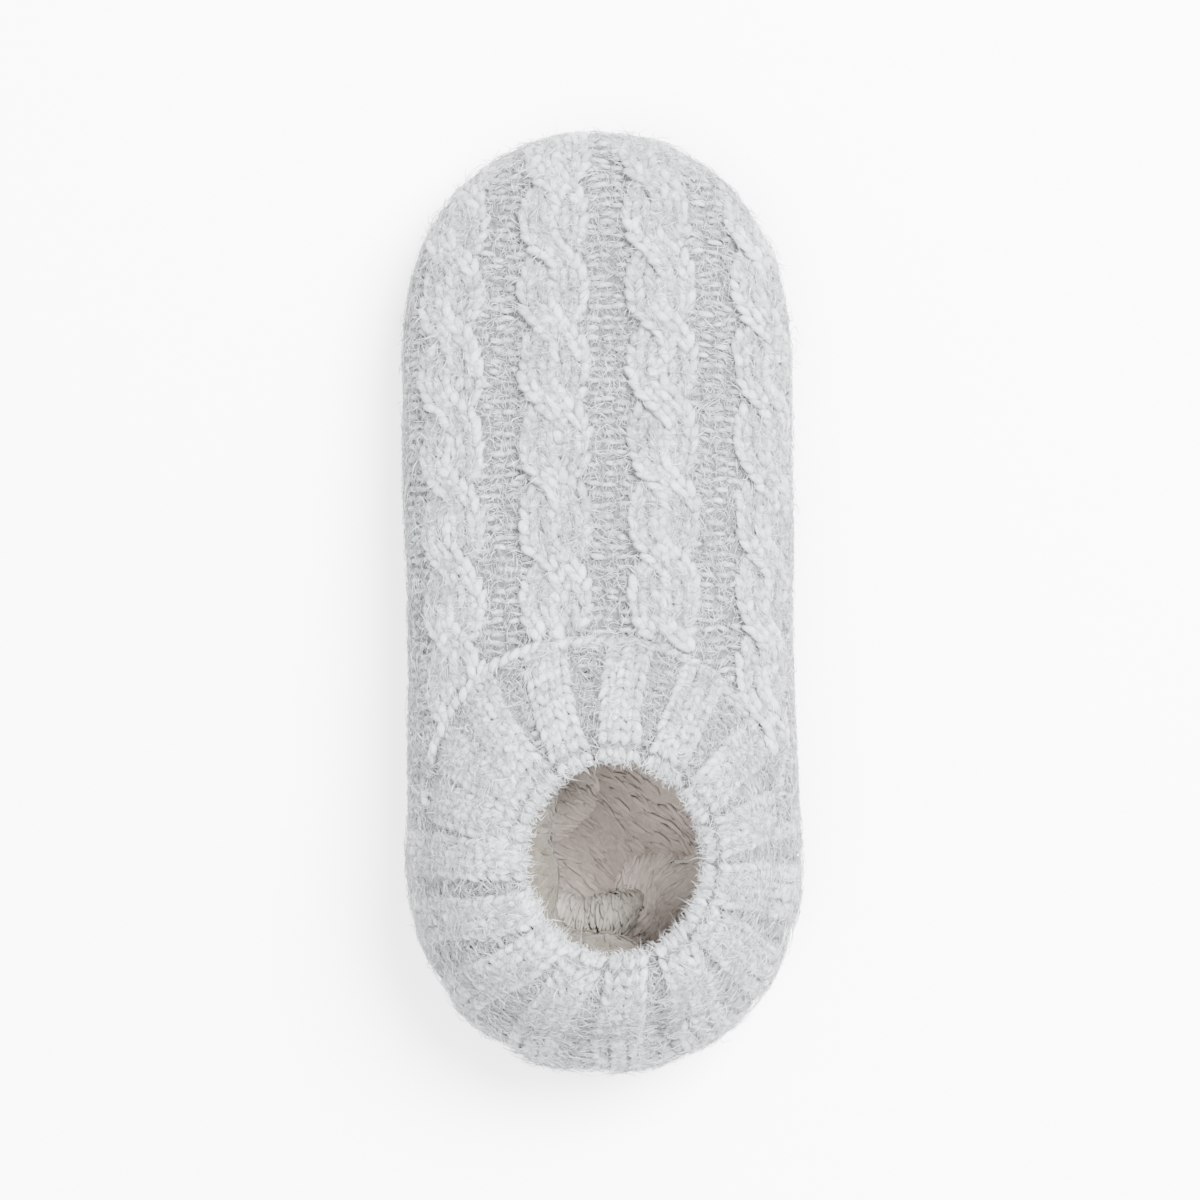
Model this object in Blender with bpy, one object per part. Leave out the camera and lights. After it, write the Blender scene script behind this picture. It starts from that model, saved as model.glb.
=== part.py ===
"""Cable knit slipper: soft sole, plush footbed, knitted foot with raised cables, and a ribbed gathered
cuff with a plush lining under its rim.

Sizes are in millimetres and MM turns them into metres. +Y points to the toe, +Z up, and +X to the right
as seen from above. The origin is on the floor, below the middle of the slipper.
"""

import math
from collections import namedtuple

import bmesh
import bpy
import numpy as np

MM = 0.001
GAP = 0.3  # clearance where two soft pieces meet

# Knitted foot, measured on its ground between the cables
TOE_END = 124.5
HEEL_END = -124.5
TOE_CAP_START = 64.0  # the outline is a rounded cap from here to the toe
HEEL_CAP_START = -66.0
OUTLINE_POWER = 2.2  # fullness of the plan outline at toe and heel
DOME_POWER = 2.3  # fullness of a cross-section above its widest level
TUCK_POWER = 0.55  # how the wall turns in below its widest level
FOOT_RATIO = 0.88  # outline on the sole, as a share of the widest outline
KNIT_WALL = 3.0

# Sections of the foot, heel to toe
LAST_COLUMNS = ("along", "half_width", "crest", "widest_level")
LAST = (
    (-125.5, 51.6, 64.0, 27.0),
    (-66.0, 51.8, 67.0, 26.0),
    (-5.0, 50.8, 61.5, 25.0),
    (30.0, 51.4, 54.5, 24.0),
    (64.0, 51.4, 48.5, 22.5),
    (124.5, 51.0, 45.5, 22.0),
)

# Cables of the knit: two strands that cross again and again
CABLE_SPACING = 28.0
CABLE_SHIFT = 4.5  # the middle of the pattern lies this far right of the crest
CABLE_SIDES = (-1.5, -0.5, 0.5, 1.5)  # cable places, in spacings from the middle of the pattern
CROSSING = 20.5  # distance along the foot from one crossing to the next
STRAND_HALF_WIDTH = 5.3
STRAND_SWING = 4.3
STRAND_RISE = 2.5
STRAND_DIVE = 1.0
TOE_GATHER = 0.14  # the outer cables draw together by this share at the toe
CABLES_FADE_FROM = -30.0  # cables die out along the sides between these two places
CABLES_FADE_TO = -58.0
CABLES_CLEAR_OF_SOLE = 10.0  # full height from this far above the sole
TOE_FADE_FROM = 18.0  # at the toe they sink into the ground between these two heights above the
TOE_FADE_TO = 2.0  # widest level
TOE_SHORTENING = 0.5  # how much of the drop over the toe the pattern skips

# Top line, where the cuff joins the foot, and the rim of the cuff, both seen from above
TOP_LINE_CENTRE = (0.0, -62.0)
TOP_LINE_HALF_WIDTH = 46.0
TOP_LINE_HALF_LENGTH = 53.5
TOP_LINE_POWER = 2.4
RIM_CENTRE = (5.0, -66.0)
RIM_HALF_WIDTH = 25.5
RIM_HALF_LENGTH = 28.0
RIM_HEIGHT = 76.0
RIM_RISE_TO_FRONT = 1.5
CUFF_WALL = 3.4
CUFF_LEAVES = 0.42  # how long the cuff keeps the direction of the foot, as a share of its depth
CUFF_ARRIVES = 0.38  # how long it runs level before the rim
HEM_ROLL = 1.9  # raised seam where the cuff is linked to the foot, at this share of the way to the rim
HEM_PLACE = 0.05
HEM_WIDTH = 0.045
RIBS_GROW_FROM = 0.05  # the pleats grow out of the seam between these two shares of the way to the rim
RIBS_GROW_TO = 0.3
RIBS_SINK = 0.3  # and lose this share of their height up to the rim

# Pleats of the cuff, one row a rib, counted round from the right: angle at the top line, angle at the
# rim, half width and rise
Rib = namedtuple("Rib", ("angle_at_top_line", "angle_at_rim", "half_angle", "rise"))
RIBS = (
    (6.0, 9.0, 12.0, 2.3),
    (31.0, 34.0, 12.0, 2.6),
    (56.0, 60.0, 11.5, 2.8),
    (79.0, 86.0, 11.5, 3.0),
    (104.0, 112.0, 11.5, 3.0),
    (127.0, 134.0, 11.0, 2.8),
    (148.0, 147.0, 9.5, 2.5),
    (166.0, 163.0, 9.0, 2.2),
    (185.0, 181.0, 9.5, 2.3),
    (205.0, 209.0, 10.5, 2.5),
    (228.0, 231.0, 11.0, 2.7),
    (251.0, 252.0, 11.5, 2.8),
    (274.0, 276.0, 11.5, 2.8),
    (297.0, 303.0, 11.0, 2.6),
    (319.0, 324.0, 11.0, 2.4),
    (342.0, 345.0, 11.5, 2.3),
)

# Plush lining that hangs under the rim, counted round from the right: how far it stands in past the line
# of the rim and how deep it hangs
LINING_COLUMNS = ("angle", "reach", "depth")
LINING = (
    (0.0, -1.0, 10.0),
    (45.0, -1.0, 6.0),
    (100.0, -1.0, 8.0),
    (122.0, 1.0, 18.0),
    (140.0, 4.5, 26.0),
    (165.0, 7.5, 28.0),
    (185.0, 9.0, 30.0),
    (203.0, 7.5, 30.0),
    (228.0, 2.5, 30.0),
    (250.0, 5.0, 30.0),
    (266.0, 6.0, 30.0),
    (284.0, 3.0, 30.0),
    (310.0, 0.0, 24.0),
    (335.0, -1.0, 14.0),
    (360.0, -1.0, 10.0),
)
LINING_TOP = (0.1, 0.6)  # its top edge, as shares of the cuff's underside from the rim to the next row
# One section of it, down its inner side and round its lower edge: share of the reach, distance further in,
# and share of the depth
LINING_SECTION = (
    (0.55, 0.0, 0.28),
    (1.0, 0.0, 0.62),
    (0.9, -0.5, 0.9),
    (0.8, -2.0, 1.0),
    (0.75, -4.0, 0.95),
)

# Sole and footbed
SOLE_THICKNESS = 5.0
SOLE_RATIO = 0.905  # outline of the sole, as a share of the widest outline
SOLE_EDGE = 2.2  # rounding of the edge
ARCH_RISE = 1.5
ARCH_FROM = -40.0
ARCH_TO = 22.0
TOE_SPRING = 5.0
TOE_SPRING_FROM = 74.0
HEEL_SPRING = 2.0
HEEL_SPRING_FROM = -98.0
INSOLE_THICKNESS = 5.0
INSOLE_CLEARANCE = 0.6
INSOLE_EDGE = 1.8

# How finely the solids are faceted
HEEL_SECTIONS = 8
BACK_SECTIONS = 8
CABLE_SECTIONS = 18
CABLE_SECTIONS_FROM = -15.0
TOE_SECTIONS = 13
OUTER_COLUMNS = 48
INNER_COLUMNS = 16
TIP_SECTIONS = 4  # sections beyond the sole at either end
CUFF_SPOKES = 96
FIRST_SPOKE = 1.3  # degrees, so that no spoke falls on the crest of the foot
CUFF_ROWS = (0.0, 0.05, 0.11, 0.2, 0.34, 0.5, 0.66, 0.82, 1.0)
INNER_ROWS = (1.0, 0.66, 0.34, 0.0)
RIM_STEPS = 3
LINING_SPOKE_STEP = 2  # the lining has a section at every second spoke of the cuff
SECTION_SAMPLES = 90
SLOPE_STEP = 0.05  # distance over which the slope of the foot is taken
CUTTER_DEPTH = 12.0  # how far the plug for the cuff reaches to either side of the foot's surface
CUTTER_TOP = 120.0
PAD_SECTIONS = 14
PAD_CAP_SECTIONS = 9
PAD_CAP_REACH = 0.9985  # a pad ends in a short flat just before the tip of its outline
PAD_EDGE_LIMIT = 0.45  # its rounding takes no more than this share of a half width
PAD_EDGE_BEND = 0.3  # middle point of its rounding, as a share of the rounding

COLOURS = {
    "knit": ((0.76, 0.77, 0.77), 0.95),
    "plush": ((0.66, 0.61, 0.56), 1.0),
    "sole_cloth": ((0.55, 0.55, 0.54), 0.9),
}


def smooth_step(value, start, end):
    """0 before start, 1 after end, and a soft S between."""
    share = np.clip((np.asarray(value, float) - start) / (end - start), 0.0, 1.0)
    return share * share * (3.0 - 2.0 * share)


def from_table(table, columns, name, place):
    """A column of a table at any place, on a smooth curve through its rows."""
    rows = np.array(table)
    places = rows[:, 0]
    values = rows[:, columns.index(name)]
    slopes = np.gradient(values, places)
    row = int(np.clip(np.searchsorted(places, place) - 1, 0, len(places) - 2))
    span = places[row + 1] - places[row]
    share = (place - places[row]) / span
    rise = values[row + 1] - values[row]
    bend = (slopes[row] * span - rise) * (1 - share) + (rise - slopes[row + 1] * span) * share
    return values[row] + share * rise + share * (1 - share) * bend


def last(name, along):
    return from_table(LAST, LAST_COLUMNS, name, along)


def spring(along):
    """How far the sole lifts off the floor at the toe and, less, behind the heel."""
    toe = max(0.0, (along - TOE_SPRING_FROM) / (TOE_END - TOE_SPRING_FROM))
    heel = max(0.0, (HEEL_SPRING_FROM - along) / (HEEL_SPRING_FROM - HEEL_END))
    return TOE_SPRING * toe**2 + HEEL_SPRING * heel**2


def arch(along):
    """Hollow under the middle of the sole, with level ground before and behind it."""
    share = min(1.0, max(0.0, (along - ARCH_FROM) / (ARCH_TO - ARCH_FROM)))
    return ARCH_RISE * 0.5 * (1 - math.cos(2 * math.pi * share))


def sole_top(along):
    return SOLE_THICKNESS + spring(along)


def cap(along):
    """How far a place lies inside the toe or heel cap, and the length of that cap."""
    if along > TOE_CAP_START:
        return along - TOE_CAP_START, TOE_END - TOE_CAP_START
    if along < HEEL_CAP_START:
        return HEEL_CAP_START - along, HEEL_CAP_START - HEEL_END
    return 0.0, TOE_END - TOE_CAP_START


def outline(along, ratio, inset):
    """Half width at a place of the plan outline, drawn in by a ratio and then by a distance."""
    past, length = cap(along)
    fullness = 1 - min(1.0, past / (ratio * length - inset)) ** OUTLINE_POWER
    return (ratio * last("half_width", along) - inset) * fullness ** (1 / OUTLINE_POWER)


def outline_end(ratio, inset, toe):
    """Where an outline ends at the toe or at the heel."""
    if toe:
        return TOE_CAP_START + ratio * (TOE_END - TOE_CAP_START) - inset
    return HEEL_CAP_START - ratio * (HEEL_CAP_START - HEEL_END) + inset


def dome(x, along, inset=0.0):
    """Height of the foot's surface above a point inside its widest outline."""
    past, length = cap(along)
    wide = last("half_width", along) - inset
    inside = (np.abs(x) / wide) ** OUTLINE_POWER + (past / (length - inset)) ** OUTLINE_POWER
    reach = np.minimum(1.0, inside) ** (DOME_POWER / OUTLINE_POWER)
    widest = last("widest_level", along)
    return widest + (last("crest", along) - inset - widest) * (1 - reach) ** (1 / DOME_POWER)


def half_section(along, inset):
    """Half of a cross-section as (x, z) points, from its crest over the widest level to the sole."""
    past, length = cap(along)
    turn = np.linspace(0.0, math.pi / 2, SECTION_SAMPLES)
    x_above = outline(along, 1.0, inset) * np.sin(turn)
    z_above = dome(x_above, along, inset)
    z_above[-1] = last("widest_level", along)
    foot_length = FOOT_RATIO * length - inset
    tip_share = max(0.0, (past - foot_length) / (length - inset - foot_length))
    shares = np.linspace(1.0, min(1.0, tip_share), SECTION_SAMPLES)
    ratios = FOOT_RATIO + (1 - FOOT_RATIO) * shares
    x_below = np.array([outline(along, ratio, inset) for ratio in ratios])
    if tip_share > 0:
        x_below[-1] = 0.0
    drop = last("widest_level", along) - sole_top(along) - GAP
    z_below = last("widest_level", along) - drop * (1 - shares) ** TUCK_POWER
    return np.concatenate([x_above, x_below[1:]]), np.concatenate([z_above, z_below[1:]])


def section(along, inset, columns):
    """A whole cross-section, left foot to right foot, as evenly spaced (x, along, z) points."""
    x, z = half_section(along, inset)
    walked = np.concatenate([[0.0], np.cumsum(np.hypot(np.diff(x), np.diff(z)))])
    places = np.linspace(-1.0, 1.0, columns + 1) * walked[-1]
    side = np.interp(np.abs(places), walked, x) * np.sign(places)
    height = np.interp(np.abs(places), walked, z)
    return np.column_stack([side, np.full(columns + 1, along), height])


def cable_height(off_centre, along):
    """Height of a two-strand cable at a distance from its centre line."""
    height = np.zeros_like(off_centre)
    for strand in (0, 1):
        phase = math.pi * (along / CROSSING + strand)
        reach = (off_centre - STRAND_SWING * np.cos(phase)) / STRAND_HALF_WIDTH
        bulge = np.sqrt(np.clip(1 - reach**2, 0.0, 1.0))
        height = np.maximum(height, (STRAND_RISE + STRAND_DIVE * np.sin(phase)) * bulge)
    return height


def pattern_place(points, along):
    """Where points of one section lie in the knit: distance from the crest, and along to the toe."""
    past, length = cap(along)
    turn = np.linspace(0.0, math.pi / 2, SECTION_SAMPLES)
    straight_x = last("half_width", along) * np.sin(turn)
    widest = last("widest_level", along)
    reach = np.sin(turn) ** DOME_POWER
    straight_z = widest + (last("crest", along) - widest) * (1 - reach) ** (1 / DOME_POWER)
    walked = np.concatenate([[0.0], np.cumsum(np.hypot(np.diff(straight_x), np.diff(straight_z)))])
    gather = 1 - (TOE_GATHER * (past / length) ** 2 if along > 0 else 0.0)
    side_share = outline(along, 1.0, 0.0) / last("half_width", along)
    below = np.clip(widest - points[:, 2], 0.0, None)
    x_open = np.abs(points[:, 0]) / gather
    across = np.interp(x_open, straight_x, walked) + side_share * below
    drop = np.interp(x_open, straight_x, straight_z) - np.maximum(points[:, 2], widest)
    drop = np.clip(drop, 0.0, None) + (1 - side_share) * below
    over_toe = drop - TOE_SHORTENING * np.minimum(past, drop)
    forward = along + np.where(along > TOE_CAP_START, over_toe, 0.0)
    return across * np.sign(points[:, 0]), forward


def relief(points, along):
    """Height of the cables above the ground of the knit, for the points of one section."""
    across, forward = pattern_place(points, along)
    height = np.zeros(len(points))
    for side in CABLE_SIDES:
        centre = CABLE_SHIFT + side * CABLE_SPACING
        height = np.maximum(height, cable_height(across - centre, forward))
    above_sole = points[:, 2] - sole_top(along)
    height = height * smooth_step(above_sole, GAP, CABLES_CLEAR_OF_SOLE)
    if along > TOE_CAP_START:
        above_widest = points[:, 2] - last("widest_level", along)
        height = height * smooth_step(above_widest, TOE_FADE_TO, TOE_FADE_FROM)
    return height * smooth_step(along, CABLES_FADE_TO, CABLES_FADE_FROM)


def stations(inset):
    """Places of the cross-sections, heel to toe, closer together at the ends and on the cables."""
    heel, heel_foot = outline_end(1.0, inset, False), outline_end(FOOT_RATIO, inset, False)
    toe, toe_foot = outline_end(1.0, inset, True), outline_end(FOOT_RATIO, inset, True)
    runs = (
        (heel, heel_foot, TIP_SECTIONS, "start"),
        (heel_foot, HEEL_CAP_START, HEEL_SECTIONS, "start"),
        (HEEL_CAP_START, CABLE_SECTIONS_FROM, BACK_SECTIONS, "even"),
        (CABLE_SECTIONS_FROM, TOE_CAP_START, CABLE_SECTIONS, "even"),
        (TOE_CAP_START, toe_foot, TOE_SECTIONS, "end"),
        (toe_foot, toe, TIP_SECTIONS, "end"),
    )
    places = [heel]
    for start, end, count, closer in runs:
        share = np.linspace(0.0, 1.0, count + 1)[1:]
        if closer == "start":
            share = 1 - np.cos(share * math.pi / 2)
        elif closer == "end":
            share = np.sin(share * math.pi / 2)
        places.extend(start + (end - start) * share)
    return places


def grid_normals(grid, closed_rows=False):
    """Unit normals of a grid of points, from the differences between neighbours."""
    if closed_rows:
        down = np.roll(grid, -1, axis=0) - np.roll(grid, 1, axis=0)
    else:
        down = np.gradient(grid, axis=0)
    normals = np.cross(np.gradient(grid, axis=1), down)
    lengths = np.linalg.norm(normals, axis=2, keepdims=True)
    return normals / np.maximum(lengths, 1e-9)


def foot_grid(inset, columns, raised):
    """The foot's surface as rows of sections, with the cables raised on it if wanted."""
    places = stations(inset)
    grid = np.array([section(along, inset, columns) for along in places])
    if raised:
        heights = np.array([relief(row, along) for row, along in zip(grid, places)])
        heights[[0, -1]] = 0.0
        grid = grid + grid_normals(grid) * heights[:, :, None]
        # The edge that stands on the sole stays flat
        grid[:, [0, -1]] = [section(along, inset, columns)[[0, -1]] for along in places]
    return grid


def new_object(name, bm, material, collection):
    # Flat faces only, so that a cut through them stays exact
    bmesh.ops.triangulate(bm, faces=bm.faces)
    bmesh.ops.recalc_face_normals(bm, faces=bm.faces)
    mesh = bpy.data.meshes.new(name)
    bm.to_mesh(mesh)
    bm.free()
    mesh.shade_smooth()
    if material:
        mesh.materials.append(material)
    piece = bpy.data.objects.new(name, mesh)
    collection.objects.link(piece)
    return piece


def add_points(bm, points):
    return [bm.verts.new(point * MM) for point in points]


def bridge(bm, row_a, row_b, closed):
    """A strip of faces between two rows of points, which may share some of them."""
    count = len(row_a)
    for index in range(count if closed else count - 1):
        following = (index + 1) % count
        corners = (row_a[index], row_a[following], row_b[following], row_b[index])
        corners = tuple(dict.fromkeys(corners))
        if len(corners) > 2:
            bm.faces.new(corners)


def add_foot_rows(bm, grid):
    """Points of the foot's sections. An end is one point, and beyond the sole a section is closed."""
    rows = []
    for index, section_points in enumerate(grid):
        from_end = min(index, len(grid) - 1 - index)
        if from_end == 0:
            rows.append(add_points(bm, section_points[:1]) * len(section_points))
        elif from_end <= TIP_SECTIONS:
            row = add_points(bm, section_points[:-1])
            rows.append(row + row[:1])
        else:
            rows.append(add_points(bm, section_points))
    return rows


def make_foot(name, material, collection):
    """Outer and inner surface of the knitted foot, joined along the edge on the sole."""
    bm = bmesh.new()
    surfaces = []
    for inset, columns, raised in ((0.0, OUTER_COLUMNS, True), (KNIT_WALL, INNER_COLUMNS, False)):
        rows = add_foot_rows(bm, foot_grid(inset, columns, raised))
        for row_a, row_b in zip(rows, rows[1:]):
            bridge(bm, row_a, row_b, False)
        surfaces.append(rows[TIP_SECTIONS:-TIP_SECTIONS])
    outer, inner = surfaces
    for end in (0, -1):
        bridge(bm, [row[end] for row in outer], [row[end] for row in inner], False)
    return new_object(name, bm, material, collection)


def ring_reach(angle, half_width, half_length, power):
    """Distance from the centre of a rounded ring to its line at an angle."""
    across = abs(math.cos(angle)) / half_width
    lengthwise = abs(math.sin(angle)) / half_length
    return (across**power + lengthwise**power) ** (-1 / power)


def top_line(angle):
    """Point of the top line on the foot, the normal there, and the way up into the cuff."""
    reach = ring_reach(angle, TOP_LINE_HALF_WIDTH, TOP_LINE_HALF_LENGTH, TOP_LINE_POWER)
    x = TOP_LINE_CENTRE[0] + reach * math.cos(angle)
    y = TOP_LINE_CENTRE[1] + reach * math.sin(angle)
    step = SLOPE_STEP
    slope_x = float(dome(x + step, y) - dome(x - step, y)) / (2 * step)
    slope_y = float(dome(x, y + step) - dome(x, y - step)) / (2 * step)
    normal = np.array([-slope_x, -slope_y, 1.0])
    inward = np.array([RIM_CENTRE[0] - x, RIM_CENTRE[1] - y])
    inward = inward / np.linalg.norm(inward)
    upward = np.array([inward[0], inward[1], slope_x * inward[0] + slope_y * inward[1]])
    point = np.array([x, y, float(dome(x, y))])
    return point, normal / np.linalg.norm(normal), upward / np.linalg.norm(upward)


def rim_point(angle):
    reach = ring_reach(angle, RIM_HALF_WIDTH, RIM_HALF_LENGTH, 2.0)
    x = RIM_CENTRE[0] + reach * math.cos(angle)
    y = RIM_CENTRE[1] + reach * math.sin(angle)
    return np.array([x, y, RIM_HEIGHT + RIM_RISE_TO_FRONT * math.sin(angle)])


def cuff_profile(angle, shares):
    """Points up one spoke of the cuff's ground, from the top line to the crown of the rim."""
    start, normal, upward = top_line(angle)
    start = start + GAP * upward
    end = rim_point(angle)
    depth = np.linalg.norm(end - start)
    outward = np.array([start[0] - end[0], start[1] - end[1], 0.0])
    outward = outward / np.linalg.norm(outward)
    leave = start + upward * CUFF_LEAVES * depth
    arrive = end + outward * CUFF_ARRIVES * depth
    share = np.asarray(shares)[:, None]
    rest = 1 - share
    return rest**3 * start + 3 * rest**2 * share * leave + 3 * rest * share**2 * arrive + share**3 * end


def rib_height(angle, share):
    """Height of the cuff's pleats at an angle and a share of the way up to the rim."""
    height = 0.0
    for rib in map(Rib._make, RIBS):
        centre = rib.angle_at_top_line + (rib.angle_at_rim - rib.angle_at_top_line) * share
        off = abs((math.degrees(angle) - centre + 180.0) % 360.0 - 180.0) / rib.half_angle
        height = max(height, rib.rise * math.sqrt(max(0.0, 1 - off * off)))
    grown = float(smooth_step(share, RIBS_GROW_FROM, RIBS_GROW_TO))
    hem = HEM_ROLL * math.exp(-(((share - HEM_PLACE) / HEM_WIDTH) ** 2))
    return height * grown * (1 - RIBS_SINK * share) + hem


def spoke_angles():
    step = 2 * math.pi / CUFF_SPOKES
    return [math.radians(FIRST_SPOKE) + step * spoke for spoke in range(CUFF_SPOKES)]


def cuff_ground(angles):
    """The cuff's ground, one row a spoke, and its normals, which point up."""
    ground = np.array([cuff_profile(angle, CUFF_ROWS) for angle in angles])
    normals = grid_normals(ground, closed_rows=True)
    normals = normals * np.sign(normals[:, :, 2:])
    normals[:, 0] = [top_line(angle)[1] for angle in angles]
    return ground, normals


def make_cuff(name, material, collection):
    """The gathered cuff: a closed profile up its outside, over the rim and down its inside."""
    angles = spoke_angles()
    ground, normals = cuff_ground(angles)
    upward = np.gradient(ground, axis=1)[:, -1]
    upward = upward / np.linalg.norm(upward, axis=1, keepdims=True)
    bm = bmesh.new()
    loops = []
    for spoke, angle in enumerate(angles):
        normal = normals[spoke]
        rise = [rib_height(angle, share) for share in CUFF_ROWS]
        outer = ground[spoke] + normal * np.array(rise)[:, None]
        inner = ground[spoke] - normal * CUFF_WALL
        inner[0] = ground[spoke][0] - normal[0] * KNIT_WALL
        middle = (outer[-1] + inner[-1]) / 2
        radius = np.linalg.norm(outer[-1] - inner[-1]) / 2
        turns = np.linspace(0.0, math.pi, RIM_STEPS + 2)[1:-1]
        rim = [middle + radius * (math.cos(t) * normal[-1] + math.sin(t) * upward[spoke]) for t in turns]
        inside = [inner[CUFF_ROWS.index(share)] for share in INNER_ROWS]
        loops.append(add_points(bm, [*outer, *rim, *inside]))
    for spoke, loop in enumerate(loops):
        bridge(bm, loop, loops[(spoke + 1) % CUFF_SPOKES], True)
    return new_object(name, bm, material, collection)


def lining_section(angle, top_inner, top_outer):
    """One closed section of the lining, which hangs from its top edge under the rim."""
    degrees = math.degrees(angle)
    reach = from_table(LINING, LINING_COLUMNS, "reach", degrees)
    depth = from_table(LINING, LINING_COLUMNS, "depth", degrees)
    rim = rim_point(angle)
    inward = np.array([RIM_CENTRE[0] - rim[0], RIM_CENTRE[1] - rim[1], 0.0])
    inward = inward / np.linalg.norm(inward)
    below_cuff = rim - (0.0, 0.0, CUFF_WALL + 2 * GAP)
    hanging = [
        below_cuff + inward * (reach * reach_share + further_in) - (0.0, 0.0, depth * depth_share)
        for reach_share, further_in, depth_share in LINING_SECTION
    ]
    outside = (hanging[-1] + top_outer) / 2
    return [top_inner, *hanging, outside, top_outer]


def make_lining(name, material, collection):
    """Plush ring under the rim, whose top edge lies against the underside of the cuff."""
    angles = spoke_angles()
    ground, normals = cuff_ground(angles)
    underside = ground - normals * CUFF_WALL - (0.0, 0.0, GAP)
    near, far = (underside[:, CUFF_ROWS.index(share)] for share in INNER_ROWS[:2])
    top_inner, top_outer = (near + (far - near) * share for share in LINING_TOP)
    bm = bmesh.new()
    loops = []
    for spoke in range(0, CUFF_SPOKES, LINING_SPOKE_STEP):
        loops.append(add_points(bm, lining_section(angles[spoke], top_inner[spoke], top_outer[spoke])))
    for index, loop in enumerate(loops):
        bridge(bm, loop, loops[(index + 1) % len(loops)], True)
    return new_object(name, bm, material, collection)


def make_top_line_cutter(name, collection):
    """What the cuff takes the place of: a plug square to the foot's wall along the top line."""
    rings = [[], [], []]
    for angle in spoke_angles():
        point, normal, _ = top_line(angle)
        below, above = point - CUTTER_DEPTH * normal, point + CUTTER_DEPTH * normal
        rings[0].append(below)
        rings[1].append(above)
        rings[2].append(np.array([above[0], above[1], CUTTER_TOP]))
    bm = bmesh.new()
    rows = [add_points(bm, ring) for ring in rings]
    bridge(bm, rows[0], rows[1], True)
    bridge(bm, rows[1], rows[2], True)
    bm.faces.new(rows[0])
    bm.faces.new(rows[2])
    cutter = new_object(name, bm, None, collection)
    cutter.hide_render = True
    cutter.display_type = "WIRE"
    return cutter


def make_pad(name, ratio, inset, bottom, top, edge, material, collection):
    """A pad of the foot's outline: one flat-bottomed section with rounded edges at each place."""
    ends = [outline_end(ratio, inset, toe) for toe in (False, True)]
    middle = np.linspace(HEEL_CAP_START, TOE_CAP_START, PAD_SECTIONS)
    tip = np.sin(np.linspace(0.0, math.pi / 2, PAD_CAP_SECTIONS))[1:] * PAD_CAP_REACH
    heel = HEEL_CAP_START + (ends[0] - HEEL_CAP_START) * tip
    toe = TOE_CAP_START + (ends[1] - TOE_CAP_START) * tip
    bm = bmesh.new()
    rows = []
    for along in [*heel[::-1], *middle, *toe]:
        half = outline(along, ratio, inset)
        low, high = bottom(along), top(along)
        round_off = min(edge, PAD_EDGE_LIMIT * half)
        right = (
            (half - round_off, low),
            (half - PAD_EDGE_BEND * round_off, low + PAD_EDGE_BEND * edge),
            (half, low + edge),
            (half, high - edge),
            (half - PAD_EDGE_BEND * round_off, high - PAD_EDGE_BEND * edge),
            (half - round_off, high),
        )
        loop = [(x, along, z) for x, z in right] + [(-x, along, z) for x, z in right[::-1]]
        rows.append(add_points(bm, np.array(loop)))
    for row_a, row_b in zip(rows, rows[1:]):
        bridge(bm, row_a, row_b, True)
    bm.faces.new(rows[0])
    bm.faces.new(rows[-1])
    return new_object(name, bm, material, collection)


def make_material(name):
    colour, roughness = COLOURS[name]
    material = bpy.data.materials.new(name)
    material.use_nodes = True
    shader = material.node_tree.nodes["Principled BSDF"]
    shader.inputs["Base Color"].default_value = (*colour, 1.0)
    shader.inputs["Roughness"].default_value = roughness
    shader.inputs["Metallic"].default_value = 0.0
    return material


def main():
    for old in list(bpy.data.objects):
        bpy.data.objects.remove(old, do_unlink=True)
    parts = bpy.data.collections.new("cable_knit_slipper")
    cutters = bpy.data.collections.new("cutters")
    for collection in (parts, cutters):
        bpy.context.scene.collection.children.link(collection)
    materials = {name: make_material(name) for name in COLOURS}

    upper = make_foot("upper", materials["knit"], parts)
    cut = upper.modifiers.new("top_line", "BOOLEAN")
    cut.operation = "DIFFERENCE"
    cut.object = make_top_line_cutter("top_line_cutter", cutters)
    make_cuff("cuff", materials["knit"], parts)
    make_lining("lining", materials["plush"], parts)
    make_pad(
        "sole",
        SOLE_RATIO,
        0.0,
        lambda along: spring(along) + arch(along),
        sole_top,
        SOLE_EDGE,
        materials["sole_cloth"],
        parts,
    )
    make_pad(
        "insole",
        FOOT_RATIO,
        KNIT_WALL + INSOLE_CLEARANCE,
        lambda along: sole_top(along) + GAP,
        lambda along: sole_top(along) + GAP + INSOLE_THICKNESS,
        INSOLE_EDGE,
        materials["plush"],
        parts,
    )


main()
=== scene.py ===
"""Looks of the cable knit slipper: stitches, seam, fuzz, plush lining and footbed, and a cloth sole.

Sizes are in millimetres and MM turns them into metres. The shapes repeat the functions and tables that the
solids come from, so that every piece lies on the solid that it dresses.
"""

import math
from collections import namedtuple

import bpy
import numpy as np
from mathutils import Matrix, Vector


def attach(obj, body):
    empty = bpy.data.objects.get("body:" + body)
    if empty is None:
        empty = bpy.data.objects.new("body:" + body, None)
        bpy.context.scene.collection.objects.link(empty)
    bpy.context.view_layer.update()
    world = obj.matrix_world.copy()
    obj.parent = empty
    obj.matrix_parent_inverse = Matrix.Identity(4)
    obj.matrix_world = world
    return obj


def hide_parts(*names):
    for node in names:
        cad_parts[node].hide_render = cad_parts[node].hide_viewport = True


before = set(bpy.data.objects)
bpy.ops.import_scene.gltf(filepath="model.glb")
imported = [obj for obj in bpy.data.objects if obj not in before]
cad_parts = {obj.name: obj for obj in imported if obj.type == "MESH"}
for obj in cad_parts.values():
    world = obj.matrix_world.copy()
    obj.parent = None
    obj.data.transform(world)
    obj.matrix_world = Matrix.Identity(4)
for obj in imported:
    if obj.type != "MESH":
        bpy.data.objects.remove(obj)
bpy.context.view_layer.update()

MM = 0.001
GAP = 0.3
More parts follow.
